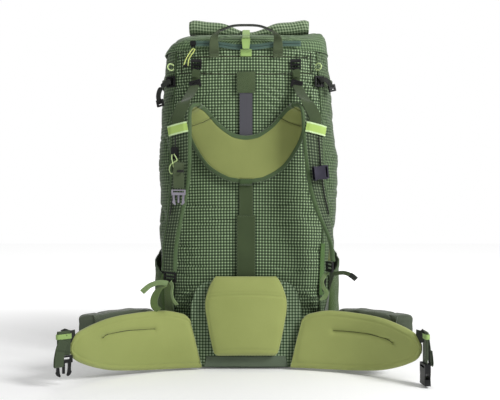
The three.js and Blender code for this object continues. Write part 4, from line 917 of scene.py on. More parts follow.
collar = {
    "height": 0.038,
    "mouthHalfWidth": 0.105,
    "mouthHalfDepth": 0.021,
    "mouthMiddle": -0.01232,
    "ear": 0.02,
    "riseShares": [0, 0.47, 0.78, 0.95, 1],
    "narrowingShares": [0, 0.1, 0.32, 0.68, 1],
    "inwardShares": [0, 0.004, 0.18, 0.58, 1],
    "leftEarShares": [0, -0.45, -0.3, 0, 0],
    "rightEarShares": [0, 1, 0.95, 0.32, 0],
    "rows": 44,
    "columns": 360,
    "thickness": 0.0014,
}


def collarPoint(row, turn):
    # row runs from 0 at the seam to 4 at the mouth
    rows = [0, 1, 2, 3, 4]
    side = "left" if math.sin(turn) < 0 else "right"
    narrow = shareAt(row, rows, collar["narrowingShares"])
    inward = shareAt(row, rows, collar["inwardShares"])
    rise = shareAt(row, rows, collar["riseShares"])
    earShare = shareAt(row, rows, collar[side + "EarShares"])
    a = mix(halfWidthAt(bag["height"], side), collar["mouthHalfWidth"], narrow)
    b = mix(halfDepthAt(bag["height"]), collar["mouthHalfDepth"], inward)
    middle = mix(backPlane + halfDepthAt(bag["height"]), collar["mouthMiddle"], inward)
    ear = collar["ear"] * earShare * abs(math.sin(turn)) ** 6
    z = bag["height"] + 0.0002 + collar["height"] * rise + ear
    return Vector((a * power(math.sin(turn)), middle - b * power(math.cos(turn)), z))


def collarShell():
    rows = collar["rows"]
    columns = collar["columns"]
    points = np.zeros((rows, columns, 3))
    for i in range(rows):
        for j in range(columns):
            points[i, j] = collarPoint(4 * i / (rows - 1), 2 * math.pi * j / columns)
    u, v = flatLengths(points)
    normals = gridNormals(points)
    folds = softNoise(u, v * 0.3, 0.017, 61) * 0.0022 + softNoise(u + v, v, 0.03, 62) * 0.0016
    creases = valleys(u + v * 0.5, v, 0.02, 63) * 0.005
    away = smoothStep(0, 0.006, v) * (1 - 0.5 * smoothStep(0.06, 0.085, v))
    shift = np.clip(folds + creases, -0.004, 0.0012) * away - 0.0004
    back = (np.abs(points[:, :, 0]) < 0.118) & (points[:, :, 1] < -0.05)
    shift = np.where(back, np.minimum(shift, -0.0006), shift)
    points = points + normals * shift[:, :, None]
    mesh = gridMesh("collarShell", points, (u, v), points - normals * collar["thickness"], closedRound=True)
    piece = newObject("collarShell", mesh, "pack", finish["gridTop"])
    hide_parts("collar")


roll = {
    "length": 0.242,
    "depth": 0.050,
    "height": 0.030,
    "offset": 0.006,
    "lift": 0.005,
    "bottom": 0.6608,
    "middle": -0.01232,
    "stationShares": [-1, -0.93, -0.72, -0.45, -0.2, 0, 0.2, 0.45, 0.72, 0.93, 1],
    "liftShares": [1, 0.85, 0.2, 0, 0, 0, 0, 0, 0.3, 1, 1.2],
    "heightShares": [0.84, 0.98, 1, 0.9, 0.42, 0.24, 0.4, 0.84, 0.95, 0.95, 0.82],
    "depthShares": [0.88, 0.97, 1, 1, 0.9, 0.84, 0.9, 1, 1, 0.96, 0.86],
    "flatness": 0.7,
    "turns": 2.6,
}


def rollSection(station, angle):
    # the section of the roll at a place along it, as a flattened round
    x = roll["offset"] + station * roll["length"] / 2
    shares = roll["stationShares"]
    height = roll["height"] * shareAt(station, shares, roll["heightShares"])
    depth = roll["depth"] * shareAt(station, shares, roll["depthShares"])
    low = roll["bottom"] + roll["lift"] * shareAt(station, shares, roll["liftShares"])
    flat = roll["flatness"]
    y = roll["middle"] + depth / 2 * math.copysign(abs(math.cos(angle)) ** flat, math.cos(angle))
    z = low + height / 2 + height / 2 * math.copysign(abs(math.sin(angle)) ** flat, math.sin(angle))
    return x, y, z, low + height / 2


def rolledTop():
    rows = 150
    columns = 96
    points = np.zeros((rows, columns, 3))
    for i in range(rows):
        station = mix(-1, 1, i / (rows - 1))
        for j in range(columns):
            points[i, j] = rollSection(station, 2 * math.pi * j / columns)[:3]
    u, v = flatLengths(points)
    normals = -gridNormals(points)
    gathered = bell(points[:, :, 0], 0, 0.03)
    pleats = softNoise(u, v * 0.16, 0.009, 81) * 0.0016 * (0.35 + gathered)
    folds = softNoise(v * 0.7 + u * 0.3, u, 0.03, 82) * 0.0016
    shift = np.clip(pleats + folds - 0.0012, -0.004, 0.0006)
    bottomHold = smoothStep(roll["bottom"], roll["bottom"] + 0.006, points[:, :, 2])
    points = points + normals * (shift * bottomHold)[:, :, None]
    mesh = gridMesh("rolledTop", points[:, ::-1], (u[:, ::-1], v[:, ::-1]), closedRound=True)
    build = bmesh.new()
    build.from_mesh(mesh)
    corners = list(build.verts)
    for row in (0, rows - 1):
        ring = [corners[row * columns + j] for j in range(columns)]
        centre = sum((v.co for v in ring), Vector()) / columns
        hub = build.verts.new(centre + Vector((0.0025 if row == 0 else -0.0025, 0, 0)))
        for j in range(columns):
            pair = (ring[j], ring[(j + 1) % columns])
            build.faces.new((pair[1], pair[0], hub) if row == 0 else (pair[0], pair[1], hub))
    closeBuild(build, mesh)
    piece = newObject("rolledTop", mesh, "roll", finish["gridRollPaintedLight"])
    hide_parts("roll_top")


def rollSpiral(end):
    # the turns of the rolled cloth show at both ends
    station = 0.985 * end
    points = []
    for k in range(90):
        t = k / 89
        angle = end * t * roll["turns"] * 2 * math.pi
        x, y, z, core = rollSection(station, angle)
        centre = Vector((x, roll["middle"], core))
        points.append(centre + (Vector((x, y, z)) - centre) * mix(0.95, 0.12, t))
    piece = tubeCurve("rollTurns_" + sideOf(end), points, 0.0014, "roll", finish["olive"])


collarShell()
rolledTop()
for end in (-1, 1):
    rollSpiral(end)
print("collar and roll ready")


# Hard pieces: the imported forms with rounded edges

def applyAll(piece):
    graph = bpy.context.evaluated_depsgraph_get()
    made = bpy.data.meshes.new_from_object(piece.evaluated_get(graph))
    made.name = piece.data.name + "Shape"
    piece.modifiers.clear()
    piece.data = made


def roundEdges(piece, width, limit, sharp):
    # rounded edges, and smooth faces up to the sharp ones
    if width:
        made = piece.modifiers.new("roundedEdges", "BEVEL")
        made.width = width
        made.segments = 3
        made.limit_method = "ANGLE"
        made.angle_limit = math.radians(limit)
    bpy.context.view_layer.update()
    applyAll(piece)
    piece.data.polygons.foreach_set("use_smooth", [True] * len(piece.data.polygons))
    piece.data.set_sharp_from_angle(angle=math.radians(sharp))


def copyOf(node, name, body, material, bevel=0.0):
    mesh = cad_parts[node].data.copy()
    mesh.name = name
    mesh.materials.clear()
    piece = newObject(name, mesh, body, material, smooth=False)
    roundEdges(piece, bevel, 35, 35)
    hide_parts(node)


# Padded pieces: rings of points round a core, swelled as cloth, then pressed and creased

coverShare = 0.97  # the pads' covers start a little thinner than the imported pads


def padRings(low, high, thick, startWay=None, endWay=None, around=48, crown=3.0, endRound=0.002, capRings=3):
    # low and high are the two rims; thick is one value for each station
    low = np.array(low, float)
    high = np.array(high, float)
    thick = np.array(thick, float)
    middle = (low + high) / 2
    way = np.gradient(middle, axis=0)
    if startWay is not None:
        way[0] = startWay
    if endWay is not None:
        way[-1] = endWay
    way /= np.linalg.norm(way, axis=1, keepdims=True)
    across = high - low
    width = np.linalg.norm(across, axis=1)
    face = np.cross(way, across)
    face /= np.linalg.norm(face, axis=1, keepdims=True)
    if face[:, 1].mean() > 0:
        face = -face
    run = np.concatenate([[0], np.cumsum(np.linalg.norm(np.diff(middle, axis=0), axis=1))])
    angle = 2 * math.pi * np.arange(around) / around
    x = -np.sign(np.cos(angle)) * np.abs(np.cos(angle)) ** (2 / crown)
    y = np.sign(np.sin(angle)) * np.abs(np.sin(angle)) ** (2 / crown)
    rings = []
    marks = []

    def ringAt(i, shrink, shift):
        core = middle[i] + np.outer(x, across[i]) / 2
        core = core + way[i] * shift
        rings.append(core + np.outer(y, face[i]) * thick[i] / 2 * shrink)
        sideways = x * width[i] / 2
        rim = (1 - np.abs(x)) * width[i] / 2
        marks.append(np.stack([sideways, np.full(around, run[i] + shift), rim, np.sin(angle)], axis=1))

    last = len(low) - 1
    for k in range(capRings):
        a = math.pi / 2 * (1 - (k + 0.25) / (capRings + 0.25))
        ringAt(0, math.cos(a), endRound * (1 - math.sin(a)))
    for i in range(last + 1):
        ringAt(i, 1, endRound if i == 0 else (-endRound if i == last else 0))
    for k in reversed(range(capRings)):
        a = math.pi / 2 * (1 - (k + 0.25) / (capRings + 0.25))
        ringAt(last, math.cos(a), -endRound * (1 - math.sin(a)))
    return np.array(rings), np.array(marks)


def ringMesh(name, rings, marks):
    count, around = rings.shape[:2]
    faces = []
    for i in range(count - 1):
        for j in range(around):
            k = (j + 1) % around
            faces.append((i * around + j, i * around + k, (i + 1) * around + k, (i + 1) * around + j))
    half = around // 2
    for base, flip in ((0, False), ((count - 1) * around, True)):
        for j in range(half):
            a, b = base + j, base + j + 1
            c, d = base + (around - j - 1) % around, base + (around - j) % around
            face = [a, b, c, d] if c != b else [a, b, d]
            if d == a:
                face = [a, b, c]
            faces.append(tuple(face if not flip else face[::-1]))
    mesh = bpy.data.meshes.new(name)
    mesh.from_pydata([tuple(p) for p in rings.reshape(-1, 3)], [], faces)
    flatMarks = marks.reshape(-1, 4)
    loops = np.zeros(len(mesh.loops), dtype=int)
    mesh.loops.foreach_get("vertex_index", loops)
    for layerName, part in (("cloth", flatMarks[:, :2]), ("rim", flatMarks[:, 2:])):
        layer = mesh.uv_layers.new(name=layerName)
        layer.data.foreach_set("uv", part[loops].ravel())
    build = bmesh.new()
    build.from_mesh(mesh)
    closeBuild(build, mesh)
    return mesh


def ribbon(name, stations, thickness, body, material, spacing=0.004, node=None):
    # flat webbing along stations, each with a middle, a rough width direction and a width
    table = np.array([[*at, *along, width] for at, along, width in stations], float)
    length = np.linalg.norm(np.diff(table[:, :3], axis=0), axis=1).sum()
    rows = smoothPath(table, max(8, int(length / spacing)))
    path = np.gradient(rows[:, :3], axis=0)
    path /= np.linalg.norm(path, axis=1, keepdims=True)
    half = rows[:, 3:6] - path * (rows[:, 3:6] * path).sum(1, keepdims=True)
    half *= rows[:, 6:7] / 2 / np.linalg.norm(half, axis=1, keepdims=True)
    rings, marks = padRings(rows[:, :3] - half, rows[:, :3] + half, [thickness] * len(rows), around=20,
                            crown=6, endRound=thickness / 2, capRings=2)
    piece = newObject(name, ringMesh(name, rings, marks), body, material)
    if node:
        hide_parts(node)
    return piece


def stitches(name, path, body, material, pitch=0.0034, length=0.0022, diameter=0.0007):
    # a row of single stitches, each a small rounded bar
    path = np.array([tuple(p) for p in path], float)
    total = np.linalg.norm(np.diff(path, axis=0), axis=1).sum()
    rows = smoothPath(path, max(3, int(total / pitch) * 4 + 1))
    points = []
    faces = []
    for k in range(0, len(rows) - 4, 4):
        start = rows[k]
        way = rows[k + 3] - start
        size = np.linalg.norm(way)
        if size < 1e-9:
            continue
        way = way / size
        side = np.cross(way, (0, 0, 1.0)) if abs(way[2]) < 0.9 else np.cross(way, (1.0, 0, 0))
        side /= np.linalg.norm(side)
        up = np.cross(way, side)
        base = len(points)
        for share, swellShare in ((0, 0.25), (0.3, 1), (0.7, 1), (1, 0.25)):
            for turn in range(6):
                a = turn * math.pi / 3
                ring = (side * math.cos(a) + up * math.sin(a)) * diameter / 2 * swellShare
                points.append(start + way * length * share + ring)
        for i in range(3):
            for j in range(6):
                n = (j + 1) % 6
                faces.append((base + i * 6 + j, base + i * 6 + n, base + i * 6 + 6 + n,
                              base + i * 6 + 6 + j))
        faces.append(tuple(base + j for j in reversed(range(6))))
        faces.append(tuple(base + 18 + j for j in range(6)))
    mesh = bpy.data.meshes.new(name)
    mesh.from_pydata([tuple(p) for p in points], [], faces)
    piece = newObject(name, mesh, body, material)


coverCloth = {"quality": 5, "mass": 0.3, "stiffness": 15.0, "pressure": 4.0, "frames": 20}


def swell(piece, most):
    # the cover fills out over its foam, by no more than the space it has
    scene = bpy.context.scene
    before = pointsOf(piece.data)
    cover = piece.modifiers.new("cover", "CLOTH")
    cover.settings.quality = coverCloth["quality"]
    cover.settings.mass = coverCloth["mass"]
    cover.settings.tension_stiffness = coverCloth["stiffness"]
    cover.settings.compression_stiffness = coverCloth["stiffness"]
    cover.settings.use_pressure = True
    cover.settings.uniform_pressure_force = coverCloth["pressure"]
    cover.settings.effector_weights.gravity = 0
    cover.collision_settings.use_collision = False
    cover.point_cache.frame_start = 1
    cover.point_cache.frame_end = coverCloth["frames"]
    for frameNumber in range(1, coverCloth["frames"] + 1):
        scene.frame_set(frameNumber)
    graph = bpy.context.evaluated_depsgraph_get()
    swollen = bpy.data.meshes.new_from_object(piece.evaluated_get(graph))
    moved = pointsOf(swollen) - before
    bpy.data.meshes.remove(swollen)
    piece.modifiers.remove(cover)
    scene.frame_set(1)
    size = np.linalg.norm(moved, axis=1, keepdims=True)
    moved *= np.minimum(1, most / np.maximum(size, 1e-9))
    piece.data.vertices.foreach_set("co", (before + moved).ravel())
    piece.data.update()


def pointsOf(mesh):
    points = np.zeros(len(mesh.vertices) * 3)
    mesh.vertices.foreach_get("co", points)
    return points.reshape(-1, 3)


def normalsOf(mesh):
    normals = np.zeros(len(mesh.vertices) * 3)
    mesh.vertex_normals.foreach_get("vector", normals)
    return normals.reshape(-1, 3)


def layerOf(mesh, name):
    # the values of a UV layer, one for each vertex
    loops = np.zeros(len(mesh.loops), dtype=int)
    mesh.loops.foreach_get("vertex_index", loops)
    values = np.zeros(len(mesh.loops) * 2)
    mesh.uv_layers[name].data.foreach_get("uv", values)
    result = np.zeros((len(mesh.vertices), 2))
    result[loops] = values.reshape(-1, 2)
    return result


def refine(piece):
    made = piece.modifiers.new("refined", "SUBSURF")
    made.levels = 1
    made.render_levels = 1
    made.boundary_smooth = "PRESERVE_CORNERS"
    applyAll(piece)
    piece.data.polygons.foreach_set("use_smooth", [True] * len(piece.data.polygons))


def press(piece, relief):
    # moves each point along its normal; relief gets places, cloth marks and rim marks
    mesh = piece.data
    points = pointsOf(mesh)
    shift = relief(points, layerOf(mesh, "cloth"), layerOf(mesh, "rim"))
    points += normalsOf(mesh) * shift[:, None]
    mesh.vertices.foreach_set("co", points.ravel())
    mesh.update()


def padPiece(name, node, shape, body, material, relief=None, most=None):
    # a cover: swelled over its foam, refined, and pressed along its stitching
    piece = newObject(name, ringMesh(name, *shape), body, material)
    if most:
        swell(piece, most)
    refine(piece)
    if relief:
        press(piece, relief)
    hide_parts(node)
    return piece


def groove(points, line, depth, reach):
    # a pressed line along a path given in the X-Z plane
    nearest = np.full(len(points), 1e9)
    for a, b in zip(line, line[1:]):
        a = np.array(a)
        b = np.array(b)
        way = b - a
        t = np.clip(((points[:, (0, 2)] - a) @ way) / (way @ way), 0, 1)
        away = points[:, (0, 2)] - a - t[:, None] * way
        nearest = np.minimum(nearest, np.linalg.norm(away, axis=1))
    return -depth * np.exp(-(nearest / reach) ** 2)


def rimMarks(material):
    # the distance from the rim as X, and the side of the pad as Y
    tree = material.node_tree
    marks = tree.nodes.new("ShaderNodeUVMap")
    marks.uv_map = "rim"
    parts = tree.nodes.new("ShaderNodeSeparateXYZ")
    tree.links.new(marks.outputs[0], parts.inputs[0])
    return tree, tree.nodes["Principled BSDF"].inputs["Base Color"], parts


def boundEdge(material, width, dark, light):
    # a taped edge: the material's own colour gives way to the tape near the rim
    tree, colour, parts = rimMarks(material)
    away = mathNode(tree, "SUBTRACT", width, parts.outputs["X"])
    share = mathNode(tree, "ADD", mathNode(tree, "DIVIDE", away, 0.0006), 0.5, clamp=True)
    cloths = tree.nodes.new("ShaderNodeUVMap")
    cloths.uv_map = "cloth"
    weave = useGroup(tree, "weave", Cloth=cloths.outputs[0], Rib=0.0013, Cross_Rib=0.0026)
    shade = mathNode(tree, "ADD", mathNode(tree, "MULTIPLY", weave.outputs["Height"], 0.25), 0.5)
    tape = mixColours(tree, shade, dark, light)
    tree.links.new(mixColours(tree, share, colour.links[0].from_socket, tape), colour)
    return material


def linedBack(material, dark, light):
    # the side that lies against the wearer or the pack is a soft knit
    tree, colour, parts = rimMarks(material)
    behind = mathNode(tree, "SUBTRACT", -0.12, parts.outputs["Y"])
    share = mathNode(tree, "ADD", mathNode(tree, "DIVIDE", behind, 0.05), 0.5, clamp=True)
    coordinates = tree.nodes.new("ShaderNodeTexCoord")
    shade = useGroup(tree, "shade", Place=coordinates.outputs["Object"], Patch_Scale=12)
    knit = mixColours(tree, shade.outputs["Patches"], dark, light)
    tree.links.new(mixColours(tree, share, colour.links[0].from_socket, knit), colour)
    return material


finish["limeBand"] = boundEdge(
    webbingCloth("limeBand", (0.27, 0.41, 0.08), (0.39, 0.54, 0.15)), 0.0032,
    (0.42, 0.57, 0.26), (0.56, 0.70, 0.42))
finish["yoke"] = boundEdge(foamCloth("yokeCloth", (0.145, 0.172, 0.048), (0.258, 0.288, 0.088)), 0.0085,
                           (0.030, 0.055, 0.020), (0.070, 0.115, 0.045))
finish["strap"] = boundEdge(
    linedBack(gridFabric("strapRipstop", (0.006, 0.015, 0.005), (0.044, 0.067, 0.030), (0.16, 0.215, 0.125)),
              (0.20, 0.235, 0.075), (0.31, 0.345, 0.12)),
    0.0055, (0.033, 0.066, 0.022), (0.078, 0.124, 0.050))
finish["beltCore"] = gridFabric("beltRipstop", (0.012, 0.028, 0.010), (0.10, 0.15, 0.08), (0.34, 0.44, 0.29))


# Shoulder yoke

yoke = {
    "thickness": 0.0105,
    "lowerEdge": [(0, 359, 9.9), (20, 361, 9.9), (42, 367, 9.9), (74, 387, 9.9), (101, 424, 9.9),
                  (113, 450, 12),
                  (121, 475, 18), (131, 490, 29.7)],
    "upperEdge": [(0, 454, 9.9), (15, 456, 9.9), (29, 461, 9.9), (51, 477, 9.9), (66, 494, 9.9),
                  (75, 504, 13),
                  (83, 510, 20), (88, 512, 32.7)],
    "crease": [(0.067, 0.4870), (0.080, 0.4797), (0.094, 0.4738), (0.105, 0.4702)],
    "stations": 81,
}


def outwards(out):
    return backPlane - out


def harnessPlaces(table, sign):
    return [(sign * across / 1000, outwards(out / 1000), up / 1000) for across, up, out in table]


def matchedEdges(first, second, count):
    # both edges at the same shares of their tables, so that sections stay square to the pad
    shares = np.linspace(0, len(first) - 1, len(first))
    wanted = np.linspace(0, len(first) - 1, count)
    result = []
    for edge in (first, second):
        p = np.array(edge, float)
        p = np.concatenate([2 * p[:1] - p[1:2], p, 2 * p[-1:] - p[-2:-1]])
        rows = []
        for t in wanted:
            i = min(int(t), len(first) - 2)
            f = t - i
            q0, q1, q2, q3 = p[i], p[i + 1], p[i + 2], p[i + 3]
            rows.append(0.5 * (2 * q1 + (q2 - q0) * f + (2 * q0 - 5 * q1 + 4 * q2 - q3) * f * f
                               + (3 * q1 - q0 - 3 * q2 + q3) * f**3))
        result.append(np.array(rows))
    return result


def yokeRelief(points, marks, rim):
    front = smoothStep(-0.1, 0.3, rim[:, 1])
    bound = 0.0006 * (1 - smoothStep(0.0080, 0.0092, rim[:, 0]))
    stitched = -0.0009 * bell(rim[:, 0], 0.0092, 0.0011)
    x = np.abs(points[:, 0])
    crease = groove(np.stack([x, points[:, 1], points[:, 2]], axis=1),
                    [(0.066, 0.488), (0.082, 0.479), (0.098, 0.474), (0.112, 0.471)], 0.0034, 0.0016)
    broad = softNoise(points[:, 0], points[:, 2], 0.035, 91) * 0.0007
    tab = -0.0012 * bell(np.maximum(0, x - 0.010), 0, 0.004) * bell(points[:, 2], 0.366, 0.006)
    return bound + front * (stitched + crease + broad + tab) - 0.0005


def shoulderYoke():
    def edge(table):
        left = harnessPlaces(table, -1)[::-1]
        return left + harnessPlaces(table[1:], 1)

    high, low = matchedEdges(edge(yoke["upperEdge"]), edge(yoke["lowerEdge"]), yoke["stations"])
    shape = padRings(low, high, [yoke["thickness"]] * yoke["stations"], (0, 1, 0), (0, -1, 0), around=56,
                     crown=3.4, endRound=0.0012)
    piece = padPiece("shoulderYoke", "shoulder_yoke", shape, "pack", finish["yoke"], yokeRelief, 0.0010)
    # dark cords in the creases at the horns are painted shade
    for sign in (-1, 1):
        crease = [(sign * x, z) for x, z in yoke["crease"]]
        paintedShadeLine("yokeCreasePaintedShade_" + sideOf(sign), piece, crease, "pack")


def paintedShadeLine(name, piece, path, body, diameter=0.0012):
    # a dark cord along a seam, crease or slit in the face of a pad or wall: painted shade for the shadow in
    # it
    bpy.context.view_layer.update()
    inside = piece.matrix_world.inverted()
    aim = inside.to_3x3() @ Vector((0, 1, 0))
    points = []
    for x, y, z in smoothPath([(x, 0, z) for x, z in path], 48):
        hit, at, normal, face = piece.ray_cast(inside @ Vector((x, outwards(0.4), z)), aim)
        if hit:
            points.append(piece.matrix_world @ at + Vector((0, diameter * 0.25, 0)))
    tube = tubeCurve(name, points, diameter, body, finish["seam"])


def backSeamShades():
    # dark cords as painted shade along the real cross seams of the back wall, and along its two upright ones
    # above the lower of them
    wall = bpy.data.objects["backWall"]
    for k, height in enumerate(cloth["seamHeights"]):
        path = [(x, height - 0.0008 - (0.002 * math.cos(x / 0.05) if k else 0))
                for x in np.linspace(-0.126, 0.126, 13)]
        paintedShadeLine(f"backSeam_{k}", wall, path, "pack", 0.0030)
    for side, sign in sideSign.items():
        path = [(sign * 0.128, z) for z in (0.576, 0.59, 0.604, 0.618)]
        paintedShadeLine("uprightSeam_" + side, wall, path, "pack", 0.0024)


# Shoulder straps

strap = {
    "thickness": 0.0105,
    "leftInner": [(88, 512, 33.3), (97, 508, 48), (101, 492, 59), (101, 448, 62), (102, 384, 62),
                  (107, 345, 61),
                  (118, 292, 58), (127, 243, 54), (131, 191.5, 50)],
    "leftOuter": [(131, 490, 30.3), (140, 487, 40), (145, 474, 46), (145, 440, 46), (144, 380, 44),
                  (147, 342, 42),
                  (152, 290, 38), (158, 243, 36), (160.5, 192.5, 36)],
    "rightInner": [(88, 512, 33.3), (98, 508, 48), (103, 492, 59), (105, 448, 62), (112, 384, 62),
                   (119, 345, 62),
                   (133, 303, 61), (158, 250, 60), (167, 212, 56)],
    "rightOuter": [(131, 490, 30.3), (141, 487, 40), (148, 474, 46), (150, 440, 46), (152, 380, 43),
                   (155, 342, 40),
                   (160, 303, 36), (164, 250, 32), (158, 212, 33)],
    "stations": 97,
}


def strapRelief(side):
    def relief(points, marks, rim):
        front = smoothStep(-0.2, 0.3, rim[:, 1])
        bound = 0.0005 * (1 - smoothStep(0.0050, 0.0060, rim[:, 0]))
        stitched = -0.0008 * bell(rim[:, 0], 0.0062, 0.0010)
        seed = 101 if side == "left" else 103
        broad = softNoise(marks[:, 0] * 1.4, marks[:, 1], 0.03, seed) * 0.0006
        folds = valleys(marks[:, 1] + marks[:, 0] * 0.8, marks[:, 0], 0.03, seed + 1, 0.22)
        return np.minimum(bound + front * (stitched + broad + folds * 0.0035) - 0.0005, 0.0004)
    return relief


def shoulderStrap(side):
    sign = sideSign[side]
    inner, outer = matchedEdges(harnessPlaces(strap[side + "Inner"], sign),
                                harnessPlaces(strap[side + "Outer"], sign), strap["stations"])
    if side == "left":
        inner, outer = outer, inner
    shape = padRings(inner, outer, [strap["thickness"]] * strap["stations"], (0, -1, 0), around=32,
                     crown=3.0,
                     endRound=0.0012)
    padPiece("shoulderStrap_" + side, "shoulder_strap_" + side, shape, "strap_" + side, finish["strap"],
             strapRelief(side), 0.0010)


def yokeTab():
    # a short piece of webbing over the binding, above the sleeve
    places = [(0.3562, 0.0062), (0.3600, 0.0142), (0.3645, 0.0154), (0.3690, 0.0153)]
    ribbon("yokeTab", [((0, outwards(out), z), (1, 0, 0), 0.0245) for z, out in places], 0.0010, "pack",
           finish["binding"], 0.001)
    stitches("yokeTabStitches", [(x, outwards(0.0159), 0.3672) for x in (-0.011, 0, 0.011)], "pack",
             finish["stitch"])


backSeamShades()
shoulderYoke()
yokeTab()
for side in ("left", "right"):
    shoulderStrap(side)
print("yoke and straps ready")


# Lumbar pad, belt core, hip fins and their pockets

lumbar = {
    "width": 0.160,
    "height": 0.155,
    "bottom": 0.027,
    "thickness": 0.022,
    "out": 0.0087,
    "heightShares": [0, 0.03, 0.15, 0.4, 0.66, 0.85, 0.96, 1],
    "widthShares": [0.72, 0.77, 0.84, 0.94, 1, 0.91, 0.8, 0.74],
    "thicknessShares": [0.35, 0.7, 0.95, 1, 1, 0.95, 0.75, 0.35],
    "lineHeight": 0.1465,
    "lineSag": 0.006,
}


def lumbarRelief(points, marks, rim):
    # two pressed arcs run across, higher in the middle, and the rim is drawn in
    front = smoothStep(0.0, 0.5, rim[:, 1])
    x = points[:, 0]
    arcs = 0
    for height, depth in ((lumbar["lineHeight"], 0.0020), (lumbar["lineHeight"] + 0.005, 0.0008),
                          (0.0415, 0.0006)):
        line = height - lumbar["lineSag"] * (x / 0.08) ** 2
        arcs = arcs - depth * bell(points[:, 2], line, 0.0019)
    broad = softNoise(x, points[:, 2], 0.05, 111) * 0.0005
    rimLine = -0.0005 * bell(rim[:, 0], 0.0045, 0.0014)
    return front * (arcs + broad + rimLine) - 0.0003


def lumbarPad():
    rows = 44
    middle = outwards(lumbar["out"] + lumbar["thickness"] / 2)
    low = []
    high = []
    thick = []
    for i in range(rows):
        share = i / (rows - 1)
        z = lumbar["bottom"] + lumbar["height"] * share
        half = lumbar["width"] / 2 * shareAt(share, lumbar["heightShares"], lumbar["widthShares"])
        low.append((-half, middle, z))
        high.append((half, middle, z))
        thick.append(lumbar["thickness"] * coverShare * shareAt(share, lumbar["heightShares"],
                                                                lumbar["thicknessShares"]))
    shape = padRings(low, high, thick, around=64, crown=3.6, endRound=0.002)
    padPiece("lumbarPad", "lumbar_pad", shape, "pack", finish["foam"], lumbarRelief, 0.0008)


beltCore = {
    "outline": [(88, 4), (101, 50), (109, 98), (101, 146), (84, 166), (60, 174)],
    "thickness": 0.004,
    "out": 0.0043,
}


def beltCoreRelief(points, marks, rim):
    front = smoothStep(0, 0.4, rim[:, 1])
    wrinkles = softNoise(points[:, 0] * 0.6, points[:, 2], 0.014, 121) * 0.0005
    stitched = -0.0007 * bell(rim[:, 0], 0.006, 0.0012)
    return front * (wrinkles + stitched) - 0.0003


def beltCorePad():
    # a thin board of foam in ripstop, seen round the lumbar pad
    rows = 70
    right = smoothPath([(x / 1000, 0, z / 1000) for x, z in beltCore["outline"]], rows)
    middle = outwards(beltCore["out"] + beltCore["thickness"] / 2)
    low = [(-x, middle, z) for x, y, z in right]
    high = [(x, middle, z) for x, y, z in right]
    shape = padRings(low, high, [beltCore["thickness"]] * rows, (0, 0, 1), (0, 0, 1), around=72, crown=5,
                     endRound=0.001)
    padPiece("beltCore", "belt_core", shape, "pack", finish["beltCore"], beltCoreRelief)


fin = {
    "length": 0.275,
    "thickness": 0.015,
    "seat": 0.0009,
    "innerAcross": 0.084,
    "startAngle": math.radians(8),
    "endAngle": math.radians(54),
    "bottom": 0.0026,
    "height": 0.116,
    "lower": [(0, 0.01), (0.05, 0), (0.27, 0), (0.5, 0.03), (0.68, 0.09), (0.84, 0.21), (0.94, 0.34),
              (0.985, 0.47)],
    "upper": [(0.085, 0.83), (0.14, 0.93), (0.28, 1), (0.5, 0.985), (0.68, 0.94), (0.83, 0.85), (0.94, 0.74),
              (0.985, 0.6)],
    "thicknessShares": [0.85, 1, 1, 1, 1, 0.95, 0.8, 0.45],
    "stations": 75,
}
finRadius = fin["length"] / (fin["endAngle"] - fin["startAngle"])
finOut = (beltCore["out"] + beltCore["thickness"] + 0.0004 - fin["seat"]
          + fin["thickness"] / 2 * fin["thicknessShares"][0])


def finPoint(side, along, z, behind=0.0):
    sign = sideSign[side]
    angle = fin["startAngle"] + along / finRadius
    radius = finRadius + behind
    centreX = sign * (fin["innerAcross"] - finRadius * math.sin(fin["startAngle"]))
    centreY = outwards(finOut) - finRadius * math.cos(fin["startAngle"])
    return (centreX + sign * radius * math.sin(angle), centreY + radius * math.cos(angle), z)


finSlit = {
    "left": [(-0.262, 0.0752), (-0.256, 0.0800), (-0.2416, 0.0826), (-0.216, 0.0843), (-0.172, 0.0828)],
    "right": [(0.165, 0.0796), (0.190, 0.0802), (0.213, 0.0797), (0.2385, 0.0770), (0.260, 0.0723),
              (0.2675, 0.0675)],
}


def finRelief(side):
    # the slit runs from the inner edge almost to the outer end, a little lower there
    slit = finSlit[side]

    def relief(points, marks, rim):
        front = smoothStep(0.0, 0.4, rim[:, 1])
        cut = groove(points, slit, 0.0042, 0.0017) + groove(points, slit, 0.0016, 0.007)
        lip = 0.0007 * bell(rim[:, 0], 0.006, 0.0035)
        stitched = -0.0006 * bell(rim[:, 0], 0.0115, 0.0016)
        broad = softNoise(marks[:, 0], marks[:, 1], 0.06, 131) * 0.0007
        return front * (cut + lip + stitched + broad) - 0.0007

    return relief


def hipFin(side):
    low, high = matchedEdges([(a, h, 0) for a, h in fin["lower"]], [(a, h, 0) for a, h in fin["upper"]],
                             fin["stations"])
    shares = np.linspace(0, 7, fin["stations"])
    thick = [fin["thickness"] * coverShare * shareAt(s, list(range(8)),
                                                     fin["thicknessShares"]) for s in shares]
    edges = [[finPoint(side, fin["length"] * a, fin["bottom"] + fin["height"] * h) for a, h, _ in edge]
             for edge in (low, high)]
    if side == "right":
        edges.reverse()
    shape = padRings(*edges, thick, around=56, crown=3.2, endRound=0.003)
    piece = padPiece("hipFin_" + side, "hip_fin_" + side, shape, "fin_" + side, finish["foam"],
                     finRelief(side),
                     0.0010)
    # a dark cord in the slit is painted shade in its recess
    paintedShadeLine("finSlitPaintedShade_" + side, piece, finSlit[side], "fin_" + side, 0.0015)


